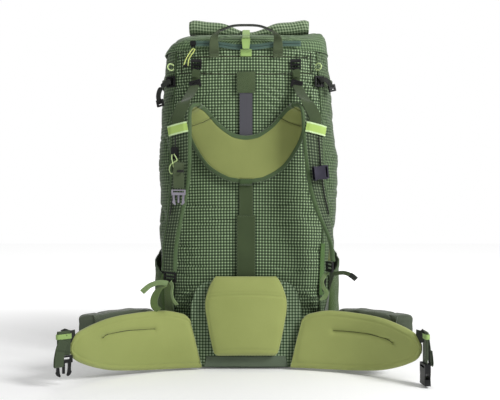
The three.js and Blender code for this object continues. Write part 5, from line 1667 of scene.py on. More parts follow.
hipPocket = {
    "start": 0.092,
    "end": 0.219,
    "bottom": 0.022,
    "top": 0.121,
    "thickness": 0.040,
    "stationShares": [0, 0.03, 0.12, 0.26, 0.4, 0.52, 0.65, 0.77, 0.88, 0.98, 1],
    "thicknessShares": [0.62, 0.84, 1, 1, 1, 1, 1, 1, 1, 0.9, 0.8],
    "topShares": [0.9, 0.97, 1, 1, 1, 1, 0.99, 0.98, 0.97, 0.955, 0.93],
    "bottomShares": [0.06, 0.02, 0, 0, 0, 0.02, 0.05, 0.1, 0.18, 0.34, 0.48],
}


def hipPocketRelief(points, marks, rim):
    folds = softNoise(points[:, 2], marks[:, 1], 0.022, 141) * 0.0018
    creases = valleys(points[:, 2] * 0.7, marks[:, 1] + points[:, 2], 0.03, 143)
    return np.minimum(folds + creases * 0.005, 0.0006) - 0.0006


def hipPocketPiece(side):
    rows = 60
    low = []
    high = []
    thick = []
    shares = hipPocket["stationShares"]
    for i in range(rows):
        share = i / (rows - 1)
        along = mix(hipPocket["start"], hipPocket["end"], share)
        deep = hipPocket["thickness"] * coverShare * shareAt(share, shares, hipPocket["thicknessShares"])
        behind = fin["thickness"] / 2 + gap + deep / 2
        for edge, key in ((low, "bottomShares"), (high, "topShares")):
            z = mix(hipPocket["bottom"], hipPocket["top"], shareAt(share, shares, hipPocket[key]))
            edge.append(finPoint(side, along, z, behind))
        thick.append(deep)
    if side == "right":
        low, high = high, low
    shape = padRings(low, high, thick, around=64, crown=7, endRound=0.002)
    padPiece("hipPocket_" + side, "hip_pocket_" + side, shape, "fin_" + side, finish["hipPocket"],
             hipPocketRelief)


finish["hipPocket"] = plainCloth("pocketGreyGreen", (0.060, 0.078, 0.050), (0.105, 0.125, 0.085),
                                 roughness=0.6, patch=7)
lumbarPad()
beltCorePad()
for side in ("left", "right"):
    hipFin(side)
    hipPocketPiece(side)
print("hip belt ready")


# Plastic and metal pieces

hardPieces = {
    "strap_adjuster": ("adjuster", "strap", 0.0004, "plastic"),
    "sternum_slider": ("sternumSlider", "sternum", 0.0005, "plastic"),
    "hip_zip_slider": ("hipZipSlider", "hip_slider", 0.0003, "plastic"),
    "compression_buckle": ("compressionBuckle", None, 0.0003, "plastic"),
    "lifter_buckle": ("lifterBuckle", None, 0.0004, "plastic"),
    "sternum_rail": ("sternumRail", "strap", 0.0, "darkWeb"),
}


singlePieces = (
    ("sternum_plug", "sternumPlug", "sternum_tail", "greyPlastic", 0.0006),
    ("sternum_socket", "sternumSocket", "sternum_right", "violetPlastic", 0.0006),
    ("belt_plug", "beltPlug", "belt_left", "plastic", 0.0006),
    ("belt_socket", "beltSocket", "belt_right", "plastic", 0.0006),
    ("top_zip_slider", "topZipSlider", "zip_slider", "plastic", 0.0005),
    ("top_hook", "topHook", "hook", "lime", 0.0005),
    ("stay", "stay", "pack", "stay", 0.0006),
    ("frame_sheet", "frameSheet", "pack", "sheet", 0.0),
    ("base_panel", "basePanel", "pack", "base", 0.0004),
)

for node, (name, body, bevel, key) in hardPieces.items():
    for side in ("left", "right"):
        copyOf(f"{node}_{side}", f"{name}_{side}", f"{body}_{side}" if body else "pack", finish[key], bevel)
for node, name, body, key, bevel in singlePieces:
    copyOf(node, name, body, finish[key], bevel)


def frameBuckle(name, centre, across, up, size, bar, thickness, body, material):
    # a small moulded frame with a bar across its middle
    across = Vector(across).normalized()
    up = Vector(up).normalized()
    out = across.cross(up)
    width, height = size
    xs = [-width / 2, -width / 2 + bar, width / 2 - bar, width / 2]
    zs = [-height / 2, -height / 2 + bar, -bar / 2, bar / 2, height / 2 - bar, height / 2]
    build = bmesh.new()
    sheets = []
    for offset in (thickness / 2, -thickness / 2):
        middle = Vector(centre) + out * offset
        sheets.append([[build.verts.new(middle + across * x + up * z) for x in xs] for z in zs])
    filled = {(i, j) for i in range(5) for j in range(3) if not (j == 1 and i in (1, 3))}
    for i, j in filled:
        for offset, rows in enumerate(sheets):
            corners = [rows[i][j], rows[i][j + 1], rows[i + 1][j + 1], rows[i + 1][j]]
            build.faces.new(corners if offset == 0 else corners[::-1])
        sides = (((i - 1, j), (i, j), (i, j + 1)), ((i + 1, j), (i + 1, j), (i + 1, j + 1)),
                 ((i, j - 1), (i, j), (i + 1, j)), ((i, j + 1), (i, j + 1), (i + 1, j + 1)))
        for neighbour, (a, b), (c, d) in sides:
            if neighbour in filled:
                continue
            front, back = sheets
            build.faces.new((front[a][b], front[c][d], back[c][d], back[a][b]))
    mesh = bpy.data.meshes.new(name)
    closeBuild(build, mesh)
    piece = newObject(name, mesh, body, material, smooth=False)
    roundEdges(piece, min(bar, thickness) * 0.3, 30, 40)


# Webbing and covers on the back

haul = {"across": 0.062, "base": 0.606, "sewn": 0.614, "over": 0.621, "shoulder": 0.644, "top": 0.663,
        "bridge": 0.009, "out": 0.020, "width": 0.019, "thickness": 0.0019, "stitchRows": (0.6075, 0.6125)}


def haulLoop():
    rise = haul["top"] - haul["shoulder"]
    fall = backFallAt(haul["across"] - 0.01, haul["base"])
    low = gap + haul["thickness"] / 2

    def station(x, z, out, along, width=1.0):
        return ((x, outwards(out) + fall, z), along, haul["width"] * width)

    def half(sign):
        arch = [(0.98, 0, 0.2, 0.45), (0.8, 0.55, 0.7, 0.9), (0.42, 0.92, 1, 1)]
        return [
            station(sign * haul["across"], haul["base"], low, (sign, 0, 0)),
            station(sign * haul["across"], haul["sewn"], low, (sign, 0, 0)),
            station(sign * haul["across"], haul["over"], haul["bridge"], (sign, 0, 0)),
            *[station(sign * haul["across"] * x, haul["shoulder"] + rise * up,
                      haul["bridge"] + haul["out"] * out,
                      (sign * (1 - turn), -turn, 0), mix(1, 0.7, turn)) for x, up, out, turn in arch],
        ]

    # the width direction turns from +X on the right to -Y on top and to -X on the left
    middle = station(0, haul["top"], haul["bridge"] + haul["out"], (0, -1, 0), 0.7)
    ribbon("haulLoop", [*half(-1), middle, *half(1)[::-1]], haul["thickness"], "haul", finish["haul"],
           node="haul_loop")
    # a black ribbon over the arch is painted shade, for the arch seen edge-on in shadow
    shadedArch = [(at, along, width * 1.03) for at, along, width in [*half(-1)[4:], middle, *half(1)[:3:-1]]]
    ribbon("haulArchPaintedShade", shadedArch, haul["thickness"] + 0.0007, "haul", finish["darkWeb"])
    for sign in (-1, 1):
        for row in haul["stitchRows"]:
            path = [(sign * haul["across"] + x, outwards(low + haul["thickness"] / 2) + fall, row)
                    for x in (-0.008, 0, 0.008)]
            stitches(f"haulStitches_{sideOf(sign)}_{int(row * 10000)}", path, "haul", finish["stitch"],
                     pitch=0.0016, length=0.0014, diameter=0.0008)


def hookTab():
    places = [(0.608, 0.0013), (0.615, 0.0013), (0.619, 0.0056), (0.620, 0.008)]
    ribbon("hookTab", [((0, outwards(out), z), (1, 0, 0), 0.022) for z, out in places], 0.0018, "pack",
           finish["lime"], 0.001, node="hook_tab")


def strapOverRoll():
    top = roll["bottom"] + roll["height"] * roll["heightShares"][5]
    back = roll["middle"] - roll["depth"] / 2
    front = roll["middle"] + roll["depth"] / 2
    hookY = outwards(0.007 + 0.002)
    thick = webbingThickness
    places = [
        (0, hookY, 0.6418), (0, mix(hookY, back, 0.45), mix(0.641, top, 0.5)), (0, back, top + 2 * thick),
        (0, roll["middle"], top + 2.4 * thick), (0, front, top + 1.6 * thick),
        (0, front + 3 * thick, roll["bottom"] + 4.5 * thick),
    ]
    ribbon("topStrap", [(at, (1, 0, 0), narrowWebbing) for at in places], thick, "roll", finish["lime"],
           node="top_strap")


def frontStrap():
    thick = webbingThickness
    standoff = 2.4 * gap + thick / 2
    over = []
    for row in (4, 3, 2, 1, 0):
        at = collarPoint(row, math.pi)
        over.append(Vector((at.x, at.y + standoff, at.z)))
    over[0].y += 4 * standoff
    for at in over[:-1]:
        at.z += standoff
    down = [bagPoint(math.pi, bag["height"] - 0.150 * (i + 0.3) / 6, standoff) for i in range(6)]
    ribbon("frontStrap", [(tuple(at), (1, 0, 0), narrowWebbing) for at in [*over, *down]], thick, "pack",
           finish["olive"], node="front_strap")


stayCover = {"front": 0.0043, "patchWidth": 0.037, "patchHeight": 0.042, "top": 0.578,
             "patchThickness": 0.0018,
             "sleeveThickness": 0.0016}


def stayPocket():
    # the patch that holds the stay's top, with a turned and stitched edge
    half = stayCover["patchWidth"] / 2 - 0.0003
    thick = stayCover["patchThickness"]
    middle = stayCover["front"] + thick / 2
    rows = 16
    low = stayCover["top"] - stayCover["patchHeight"] + 0.0003
    heights = [mix(low, stayCover["top"] - 0.0003, i / (rows - 1)) for i in range(rows)]
    shape = padRings([(-half, outwards(middle), z) for z in heights],
                     [(half, outwards(middle), z) for z in heights],
                     [thick] * rows, around=40, crown=7, endRound=thick / 2)
    padPiece("stayPocket", "stay_pocket", shape, "pack", finish["patch"])
    out = outwards(stayCover["front"] + thick)
    x = half - 0.0022
    upright = (low + 0.001, stayCover["top"] - 0.003)
    for key, path in (
        ("left", [(-x, out, z) for z in upright]),
        ("right", [(x, out, z) for z in upright]),
        ("top", [(s, out, stayCover["top"] - 0.0028) for s in (-x, x)]),
    ):
        stitches("pocketStitches_" + key, np.linspace(*np.array(path), 5), "pack", finish["stitch"])


def staySleeve():
    # one run of webbing, wider below a step
    thick = stayCover["sleeveThickness"]
    out = outwards(stayCover["front"] + thick / 2)
    for name, node, width, heights in (("staySleeveUpper", None, 0.027, (0.3572, 0.33, 0.31, 0.2985)),
                                       ("staySleeve", "stay_sleeve", 0.036, (0.2985, 0.26, 0.22, 0.1785))):
        ribbon(name, [((0, out, z), (1, 0, 0), width) for z in heights], thick, "pack", finish["olive"],
               node=node)
    front = outwards(stayCover["front"] + thick)
    for x, top, bottom in ((0.0118, 0.352, 0.300), (0.0162, 0.297, 0.180)):
        for sign in (-1, 1):
            path = [(sign * x, front, mix(bottom, top, i / 6)) for i in range(7)]
            stitches(f"sleeveStitches_{sideOf(sign)}_{int(x * 10000)}", path, "pack", finish["stitch"])
    stitches("sleeveStepStitches", [(x, front, 0.2955) for x in (-0.016, 0, 0.016)], "pack",
             finish["stitch"])


topZip = {"length": 0.214, "width": 0.011, "thickness": 0.0012, "height": 0.63304, "sag": 0.007}


def zipBand():
    # a coated band with the closed coil along its middle, which sags between the haul loop's ends
    out = gap + topZip["thickness"] / 2
    half = topZip["length"] / 2

    def row(count, away=0.0, lift=0.0, inset=0.0):
        places = np.linspace(-half + inset, half - inset, count)
        sags = [topZip["sag"] * (1 - smoothStep(0.008, 0.074, abs(x))) for x in places]
        return [(x, outwards(out + away), topZip["height"] + lift - sag) for x, sag in zip(places, sags)]

    ribbon("topZip", [(at, (0, 0, 1), topZip["width"]) for at in row(25)], topZip["thickness"], "pack",
           finish["zip"], node="top_zip")
    away = topZip["thickness"] / 2 + 0.0001
    stitches("topZipCoil", row(25, away, 0.0, 0.001), "pack", finish["darkWeb"], pitch=0.0017, length=0.0013,
             diameter=0.0014)
    for sign in (-1, 1):
        stitches("topZipStitches_" + ("low" if sign < 0 else "high"), row(25, away - 0.0001, sign * 0.0042),
                 "pack",
                 finish["stitch"])


compression = {"height": 0.562, "left": 51, "right": 45, "end": 118, "width": narrowWebbing,
               "tailWidth": 0.0095,
               "tailOut": 0.0075}


def compressionStrap(side):
    z = compression["height"]
    turn = math.radians(compression[side])
    span = compression["width"] * 1.1 / halfWidthAt(z, side)
    end = math.radians(compression["end"])
    places = []
    for k in range(13):
        at = bagPoint(sideSign[side] * mix(turn + span, end, k / 12), z, 0.0006 + gap + webbingThickness / 2)
        places.append((tuple(at), (0, 0, 1), compression["width"]))
    ribbon("compressionStrap_" + side, places, webbingThickness, "pack", finish["olive"],
           node="compression_strap_" + side)


compressionTails = {
    # offsets from the buckle, and the webbing's width direction there
    "left": [((0.004, -0.002, 0), (0, 0, 1)), ((-0.002, -0.004, -0.002), (0.1, 0, 1)),
             ((-0.011, -0.006, -0.009), (0.5, 0, 1)), ((-0.018, -0.004, -0.020), (1, 0, 0.6)),
             ((-0.020, 0, -0.032), (1, 0, 0.2)), ((-0.017, 0.003, -0.042), (1, 0, -0.4))],
    "right": [((-0.003, -0.002, 0.001), (0, 0, 1)), ((0.003, -0.003, 0.003), (-0.1, 0, 1)),
              ((0.010, 0, 0.002), (0.2, 0, 1)), ((0.017, 0.006, -0.004), (0.5, 0, 1)),
              ((0.022, 0.012, -0.012), (0.9, 0, 1))],
}


def compressionTail(side):
    # the webbing's free end hangs in a loop beside the buckle, with a second small buckle on it
    sign = sideSign[side]
    start = bagPoint(sign * (math.radians(compression[side]) + 0.02), compression["height"],
                     compression["tailOut"])
    places = [(tuple(start + Vector(offset)), along, compression["tailWidth"])
              for offset, along in compressionTails[side]]
    ribbon("compressionTail_" + side, places, webbingThickness, "pack", finish["darkWeb"], 0.002)
    frameBuckle("compressionKeeper_" + side, places[-1][0], (1, sign * 0.3, 0.25), (-0.2, 0, 1),
                (0.0150, 0.0140),
                0.0036, 0.0048, "pack", finish["plastic"])


haulLoop()
hookTab()
strapOverRoll()
frontStrap()
stayPocket()
staySleeve()
zipBand()
for side in ("left", "right"):
    compressionStrap(side)
    compressionTail(side)
print("webbing on the bag ready")


# Webbing and buckles of the harness

strapBand = {"height": 0.462, "width": 0.0200, "thickness": 0.0014,
             "across": [0.14, 0.22, 0.27, 0.55, 0.83, 0.9, 1],
             "lift": [0, 0.3, 1, 1.06, 1, 0.4, 0], "tilt": 0.0095}
lifter = {"across": 0.097, "keeperHeight": 0.554, "bandShare": 0.55, "slope": 0.4,
          "fold": [(111, 523, 33), (116, 513, 50)]}


def strapFrame(side, z, share=0.5):
    # a place on a strap: its middle, the way down it, its width direction and its outward face
    sign = sideSign[side]
    inner = [np.array(p) for p in harnessPlaces(strap[side + "Inner"], sign)]
    outer = [np.array(p) for p in harnessPlaces(strap[side + "Outer"], sign)]
    rows = [a + (b - a) * share for a, b in zip(inner, outer)]
    i = 2
    while i < len(rows) - 2 and rows[i + 1][2] > z:
        i += 1
    part = (rows[i][2] - z) / (rows[i][2] - rows[i + 1][2])
    at = rows[i] + (rows[i + 1] - rows[i]) * part
    down = rows[i + 1] - rows[i]
    down /= np.linalg.norm(down)
    wide = (outer[i] + (outer[i + 1] - outer[i]) * part) - (inner[i] + (inner[i + 1] - inner[i]) * part)
    wide -= down * (down @ wide)
    wide /= np.linalg.norm(wide)
    face = np.cross(down, wide) * sign
    return at, down, wide, face


strapFace = strap["thickness"] / 2 + 0.00025


def strapBandPiece(side):
    low = strapFace + 1.5 * gap + strapBand["thickness"] / 2
    high = low + webbingThickness + gap

    def bandRow(out=0.0, along=0.0):
        result = []
        for share, lift in zip(strapBand["across"], strapBand["lift"]):
            at, down, wide, face = strapFrame(side, strapBand["height"], share)
            tilt = down * (share - 0.5) * strapBand["tilt"]
            result.append((at + tilt + face * (mix(low, high, lift) + out) + down * along, down))
        return result

    ribbon("strapBand_" + side, [(tuple(at), tuple(down), strapBand["width"]) for at, down in bandRow()],
           strapBand["thickness"], "strap_" + side, finish["limeBand"], 0.002, node="strap_band_" + side)
    for key, row in (("upper", -0.0084), ("lower", 0.0084)):
        path = [at for at, down in bandRow(strapBand["thickness"] / 2, row)]
        stitches(f"bandStitches_{side}_{key}", path, "strap_" + side, finish["limeStitch"])


def loadLifter(side):
    sign = sideSign[side]
    thick = webbingThickness
    out = gap + thick / 2
    level = (1, 0, 0)
    tilted = (1, 0, -sign * lifter["slope"])

    def place(across, up, away):
        return (sign * across, outwards(away), up)

    def onStrap(z):
        at, down, wide, face = strapFrame(side, z, lifter["bandShare"])
        return (tuple(at + face * (strapFace + 2 * gap + thick / 2)), tuple(wide * sign), 0.025)

    bandTop = strapBand["height"] + strapBand["width"] / 2 + thick
    stations = [
        (place(lifter["across"], 0.5813, out), level, narrowWebbing),
        (place(lifter["across"] + thick, lifter["keeperHeight"], out + thick), level, 0.016),
        *[((sign * a / 1000, outwards(o / 1000), u / 1000), tilted, 0.024) for a, u, o in lifter["fold"]],
        onStrap(bandTop + 0.012), onStrap(bandTop), onStrap(strapBand["height"]),
    ]
    piece = ribbon("loadLifter_" + side, stations, thick, None, finish["olive"], 0.003,
                   node="load_lifter_" + side)
    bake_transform(piece)
    ribbon("lifterTail_" + side, [
        (place(lifter["across"] - 0.001, 0.5815, 0.0062), level, 0.0145),
        (place(lifter["across"] + 0.001, 0.575, 0.0068), level, 0.0145),
        (place(lifter["across"] + 0.002, 0.567, 0.0052), level, 0.014),
    ], thick, "pack", finish["olive"])


def lifterKeeper(side):
    sign = sideSign[side]
    frameBuckle("lifterKeeper_" + side, (sign * (lifter["across"] + 0.0016), outwards(0.0045),
                                         lifter["keeperHeight"]),
                (1, 0, -sign * 0.3), (sign * 0.3, -0.25, 1), (0.0225, 0.0138), 0.0040, 0.0036, "pack",
                finish["plastic"])


def lowerWebbing(side):
    sign = sideSign[side]
    last = strap[side + "Inner"][-1][1] / 1000
    at, down, wide, face = strapFrame(side, last)
    thick = webbingThickness
    top = at + down * (0.0168 + 0.0023 + 4 * gap)
    turn = math.radians(54) * sign
    standoff = 1.5 * gap + thick / 2
    anchors = []
    for z in (0.086, 0.060):
        place = bagPoint(turn, z, standoff)
        step = bagPoint(turn + sign * 0.0175, z, standoff) - bagPoint(turn - sign * 0.0175, z, standoff)
        anchors.append((np.array(place), np.array(step.normalized())))
    first = anchors[0]
    middle = (top + first[0]) / 2 + np.array((0, -thick, 0))
    turned = wide * (-1 if wide @ first[1] < 0 else 1)
    stations = [(tuple(top), tuple(turned), 0.020), (tuple(middle), tuple(turned + first[1]), 0.0195),
                (tuple(first[0]), tuple(first[1]), 0.020),
                (tuple(anchors[1][0]), tuple(anchors[1][1]), 0.020)]
    piece = ribbon("lowerWebbing_" + side, stations, thick, None,
                   finish["gusset" if side == "left" else "darkOlive"], node="lower_webbing_" + side)
    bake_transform(piece)


def loosePieces():
    # pull tabs and loose ends of the strap webbing, and a black ribbon as painted shade inside the right
    # loop, where the photograph shows them
    light = finish["lightWeb"]
    tabs = (
        ("pullTab_left", "strap_left", 0.011, light, [
            ((-0.1480, -0.1465, 0.1700), (0.3, -0.3, 1)), ((-0.1560, -0.1500, 0.1720), (0.3, -0.4, 1)),
            ((-0.1680, -0.1520, 0.1715), (0.1, -0.5, 1)), ((-0.1820, -0.1520, 0.1660), (-0.1, -0.5, 1)),
            ((-0.1960, -0.1500, 0.1540), (-0.3, -0.4, 1))]),
        ("pullLoop_left", "strap_left", 0.014, finish["gusset"], [
            ((-0.1530, -0.1430, 0.1690), (1, -0.2, 0.2)), ((-0.1650, -0.1470, 0.1580), (1, -0.3, 0.5)),
            ((-0.1730, -0.1480, 0.1420), (1, -0.2, 0.3)), ((-0.1730, -0.1440, 0.1270), (1, 0, 0)),
            ((-0.1660, -0.1380, 0.1180), (1, 0.3, -0.3))]),
        ("looseWebbing_left", "strap_left", 0.0085, light, [
            ((-0.1430, -0.1470, 0.1740), (1, -0.9, 0)), ((-0.1385, -0.1520, 0.1660), (1, -1.6, 0)),
            ((-0.1395, -0.1550, 0.1530), (1, -1.6, 0)), ((-0.1360, -0.1540, 0.1400), (1, -1.2, 0.3)),
            ((-0.1300, -0.1500, 0.1300), (1, -0.8, 0.5))]),
        ("pullTab_right", "strap_right", 0.0085, finish["olive"], [
            ((0.1640, -0.1440, 0.1880), (0, -0.3, 1)), ((0.1740, -0.1480, 0.1900), (0, -0.5, 1)),
            ((0.1860, -0.1490, 0.1905), (0.1, -0.5, 1)), ((0.1980, -0.1490, 0.1860), (0.4, -0.4, 1)),
            ((0.2070, -0.1480, 0.1790), (0.5, -0.3, 1))]),
        ("looseWebbing_right", "strap_right", 0.0085, light, [
            ((0.1560, -0.1380, 0.1900), (0.6, -1, 0)), ((0.1490, -0.1440, 0.1850), (0.8, -1, -0.6)),
            ((0.1440, -0.1470, 0.1740), (1, -1, 0)), ((0.1470, -0.1480, 0.1620), (1, -1, 0.2)),
            ((0.1530, -0.1450, 0.1530), (1, -0.7, 0.6)), ((0.1490, -0.1380, 0.1430), (1, -0.4, 0.3)),
            ((0.1420, -0.1330, 0.1370), (1, -0.2, 0.5))]),
        ("pullTip_right", "strap_right", 0.0100, finish["darkWeb"], [
            ((0.1960, -0.1493, 0.1872), (0.4, -0.4, 1)), ((0.2020, -0.1492, 0.1835), (0.45, -0.35, 1)),
            ((0.2085, -0.1480, 0.1778), (0.5, -0.3, 1))]),
        # a black ribbon inside the loop is painted shade
        ("loopPaintedShade_right", "strap_right", 0.0075, finish["darkWeb"], [
            ((0.1500, -0.1370, 0.1790), (1, -0.4, 0)), ((0.1480, -0.1375, 0.1660), (1, -0.4, 0)),
            ((0.1490, -0.1365, 0.1540), (1, -0.4, 0))]),
        ("edgeWebbing_right", "pack", 0.011, finish["leafWeb"], [
            (tuple(bagPoint(bag["backSeam"], z, 0.0016)), (0.8, 0.6, 0))
            for z in (0.242, 0.208, 0.174, 0.140)]),
    )
    for name, body, width, material, places in tabs:
        thick = webbingThickness * (1.5 if name == "pullTip_right" else 1)
        ribbon(name, [(at, along, width) for at, along in places], thick, body, material, 0.002)


sternumWeb = {"drop": 0.055, "sway": 0.008, "lean": 0.008, "width": 0.020}


def sternumWebbing():
    low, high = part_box("sternum_webbing")
    thick = webbingThickness
    left = low[0] + sternumWeb["width"] / 2
    top = high[2] - 0.0003
    front = high[1] - 0.0009

    def place(down, aside, out=0.0):
        return (left + sternumWeb["sway"] * aside, front - sternumWeb["lean"] * aside - out,
                top - sternumWeb["drop"] * down)

    spots = [(0, 0), (0.1, 0.08), (0.25, 0.4), (0.42, 0.75), (0.6, 1), (0.8, 1), (1, 1)]
    widths = (0.012, 0.015, 0.019, 0.020, 0.020, 0.020, 0.020)
    ribbon("sternumWebbing", [(place(d, a), (1, 0.06, 0), w) for (d, a), w in zip(spots, widths)], thick,
           "sternum_tail", finish["olive"], 0.002, node="sternum_webbing")
    # the free end is folded up over the front, and held by a dark keeper
    ribbon("sternumTail", [
        (place(0.99, 1, 0.0021), (1, 0, 0.02), 0.0192), (place(0.8, 1, 0.0024), (1, 0, 0.04), 0.0192),
        (place(0.52, 0.9, 0.0026), (1, 0, 0.12), 0.0192), (place(0.36, 0.95, 0.0032), (1, 0, 0.3), 0.019),
        (place(0.22, 1.15, 0.0044), (1, 0, 0.45), 0.0185), (place(0.12, 1.2, 0.0030), (1, 0.1, 0.5), 0.018)],
        thick, "sternum_tail", finish["haul"], 0.002)
    ribbon("sternumKeeper", [
        (place(0.42, 0.85 + x, 0.0028 + y), (0, 0, 1), 0.0045) for x, y in
        ((-1.35, -0.0025), (-1.3, 0.0016), (-0.6, 0.0024), (0.6, 0.0024), (1.3, 0.0016), (1.35, -0.0025),
         (1.2, -0.0046), (0, -0.0050), (-1.2, -0.0046))],
        0.0010, "sternum_tail", finish["darkWeb"], 0.002)


def sternumCord():
    # a small pull of cord on the left slider
    low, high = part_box("sternum_slider_left")
    start = Vector(((low[0] + high[0]) / 2 - 0.001, low[1] - 0.0014, low[2] + 0.010))
    offsets = [(0, 0, 0), (0.004, -0.001, -0.006), (0.006, -0.001, -0.012), (0.001, -0.0015, -0.0145),
               (-0.006, -0.0015, -0.020), (-0.0085, -0.001, -0.030), (-0.0045, -0.001, -0.037),
               (0.0005, -0.002, -0.031), (-0.0008, -0.0032, -0.022), (-0.0035, -0.0036, -0.010),
               (-0.0036, -0.002, -0.001)]
    points = [Vector(p) for p in smoothPath([start + Vector(o) for o in offsets], 36)]
    diameter = 0.0019
    piece = tubeCurve("sternumCord", points, diameter, "sternum_left", finish["paleCord"])


for side in ("left", "right"):
    strapBandPiece(side)
    loadLifter(side)
    lifterKeeper(side)
    lowerWebbing(side)
loosePieces()
sternumWebbing()
sternumCord()
print("harness webbing ready")


# Stretch pockets on the sides and the front

sidePocket = {"from": 62, "to": 126, "bottom": 0.012, "top": (0.178, 0.246), "bulge": 0.016,
              "topShare": 0.62,
              "closeShare": 0.16, "wall": 0.0016, "columns": 60, "rows": 80, "tape": 0.013}
frontPocket = {"from": 140, "to": 220, "bottom": 0.040, "top": (0.400, 0.400), "bulge": 0.014,
               "topShare": 0.9,
               "closeShare": 0.08, "wall": 0.0016, "columns": 66, "rows": 100, "tape": 0.013}


def stretchPocket(name, node, size, side, seed):
    sign = sideSign[side]
    u = np.linspace(0.0001, 0.9999, size["columns"])
    turns = sign * np.radians(mix(size["from"], size["to"], u))
    rounded = np.sin(math.pi * u) ** 0.6
    tops = mix(size["top"][0], size["top"][1], u)
    points = np.zeros((size["rows"], size["columns"], 3))
    normals = np.zeros_like(points)
    for i in range(size["rows"]):
        v = i / (size["rows"] - 1)
        bulge = size["bulge"] * rounded * smoothStep(0, size["closeShare"], v) * mix(1, size["topShare"], v)
        # gathers under the elastic tape and slack folds lower down
        gather = softNoise(u * 0.2, u * 0 + v * 0.02, 0.0055, seed) * 0.0013 * math.exp(-(1 - v) * 9)
        folds = ridges(u * 0.16 + v * 0.03, v * 0.2 - u * 0.05, 0.034, seed + 1) * 0.0011
        hold = np.minimum(1, np.minimum(12 * u, np.minimum(12 * (1 - u), 12 * v)))
        out = 0.0008 + size["wall"] + bulge + (gather + np.minimum(folds, 0.0004)) * hold
        heights = mix(size["bottom"], tops, v)
        for j in range(size["columns"]):
            points[i, j] = bagRow(turns[j : j + 1], heights[j], out[j])[0]
            normals[i, j] = (bagRow(turns[j : j + 1], heights[j], out[j] + 0.01)[0] - points[i, j]) / 0.01
    if sign < 0:
        points = points[:, ::-1]
        normals = normals[:, ::-1]
    mesh = gridMesh(name, points, flatLengths(points), points - normals * size["wall"])
    piece = newObject(name, mesh, "pack", finish["pocket"])
    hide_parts(node)
    top = points[-1] - normals[-1] * size["wall"] / 2
    under = np.array((0, 0, size["tape"] / 2 - 0.0004))
    ribbon(name + "Tape", [(tuple(p - under), (0, 0, 1), size["tape"]) for p in top[::4]],
           size["wall"] + 0.0012,
           "pack", finish["binding"], 0.003)
    inset = points[-1] + normals[-1] * 0.0004
    for k, drop in enumerate((0.0025, 0.0115)):
        stitches(f"{name}Stitches_{k}", inset[3:-3:3] - np.array((0, 0, drop)), "pack", finish["stitch"])


stretchPocket("sidePocket_left", "side_pocket_left", sidePocket, "left", 151)
stretchPocket("sidePocket_right", "side_pocket_right", sidePocket, "right", 157)
stretchPocket("frontPocket", "front_pocket", frontPocket, "right", 163)


# Belt ends

beltEndPieces = {
    "left": {"angle": 40, "reach": 0.0104, "bottom": 0.0544, "top": 0.098},
    "right": {"angle": 86, "reach": 0.005, "bottom": 0.0414, "top": 0.098},
    "width": 0.025,
}


beltKeeperRound = ((-0.0135, 0.001), (-0.0125, 0.0042), (-0.006, 0.0046), (0.006, 0.0046), (0.0125, 0.0042),
                   (0.0135, 0.001), (0.0125, -0.0026), (0, -0.0032), (-0.0125, -0.0026))
# the folded free end: its height, then how far aside and how far out
beltFoldPlaces = ((0.0820, 0.002, 0.0048), (0.0680, 0.009, 0.0060), (0.0520, 0.0130, 0.0066),
                  (0.0410, 0.0140, 0.0070),
                  (0.0372, 0.0140, 0.0088), (0.0405, 0.0140, 0.0106), (0.0520, 0.0130, 0.0100),
                  (0.0640, 0.0105, 0.0088))


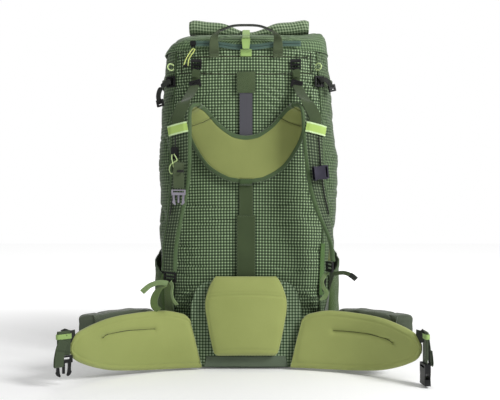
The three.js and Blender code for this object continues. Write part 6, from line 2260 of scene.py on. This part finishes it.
def beltEnd(side):
    sign = sideSign[side]
    size = beltEndPieces[side]
    body = "belt_" + side
    angle = math.radians(size["angle"])
    heading = Vector((sign * math.cos(fin["endAngle"]), -math.sin(fin["endAngle"]), 0))
    at = Vector(finPoint(side, fin["length"], 0)) + heading * size["reach"]
    along = (sign * math.cos(angle), -math.sin(angle), 0)
    out = Vector((-along[1], along[0], 0))

    def place(z, aside, lift):
        return tuple(Vector((at.x, at.y, z)) + Vector(along) * aside + out * lift)

    heights = (size["top"], mix(size["top"], size["bottom"], 0.5), size["bottom"])
    ribbon("beltWebbing_" + side, [((at.x, at.y, z), along, beltEndPieces["width"]) for z in heights],
           0.0030,
           body, finish["darkOlive"], 0.003, node="belt_webbing_" + side)
    # the doubled tail over it, held by a keeper of light webbing
    doubled = ((0.0965, 0.9), (0.088, 1.05), (0.076, 1.1), (size["bottom"] + 0.006, 0.95))
    ribbon("beltTail_" + side, [(place(z, 0, 0.0024 * lift), along, 0.0242) for z, lift in doubled], 0.0014,
           body, finish["darkOlive"], 0.003)
    ribbon("beltKeeper_" + side, [(place(0.0885, x, y), (0, 0, 1), 0.009) for x, y in beltKeeperRound],
           0.0012,
           body, finish["lime"], 0.002)
    # the free end hangs folded beside the buckle
    spread = 1 if side == "left" else 0.35
    ribbon("beltFold_" + side, [(place(z, a * spread, o), along, 0.0175) for z, a, o in beltFoldPlaces],
           0.0014,
           body, finish["darkOlive"], 0.002)
    # black webbing that leaves the fin and carries the buckle
    start = Vector(finPoint(side, fin["length"] * 0.955, 0.0865))
    middle = Vector((at.x, at.y, 0.0935)) - heading * size["reach"] * 0.3
    ribbon("beltLead_" + side, [
        (tuple(start - heading * 0.004), (0, 0, 1), 0.022),
        (tuple(start + heading * 0.008), (0, 0, 1), 0.022),
        (tuple(middle), (0, 0.2, 1), 0.017), (place(0.0945, 0, 0.0012), (along[0], along[1], 0.6), 0.016)],
        webbingThickness, body, finish["darkWeb"], 0.002)


for side in ("left", "right"):
    beltEnd(side)


footStripShape = {"bottom": 0.0045, "top": 0.0250, "halfBottom": 0.0815, "halfTop": 0.0765,
                  "thickness": 0.0008}


def footStrip():
    # plain cloth over the foot of the belt core, under the lumbar pad
    size = footStripShape
    out = outwards(beltCore["out"] + beltCore["thickness"] + 0.0001)
    columns = 90
    rows = 16
    points = np.zeros((rows, columns, 3))
    for i in range(rows):
        half = mix(size["halfBottom"], size["halfTop"], i / (rows - 1))
        x = np.linspace(-half, half, columns)
        z = mix(size["bottom"], size["top"], i / (rows - 1)) + x * 0
        fold = softNoise(x, z, 0.03, 171) * 0.0002
        points[i] = np.stack([x, out - size["thickness"] - fold, z], axis=1)
    mesh = gridMesh("footStrip", points, flatLengths(points), points + np.array((0, size["thickness"], 0)))
    piece = newObject("footStrip", mesh, "pack", finish["base"])
    path = [(x, out - size["thickness"] - 0.0001, size["bottom"] + 0.0022)
            for x in np.linspace(-0.079, 0.079, 13)]
    stitches("footStitches", path, "pack", finish["stitch"])


footStrip()
print("pockets and belt ends ready")


print("scene ready")
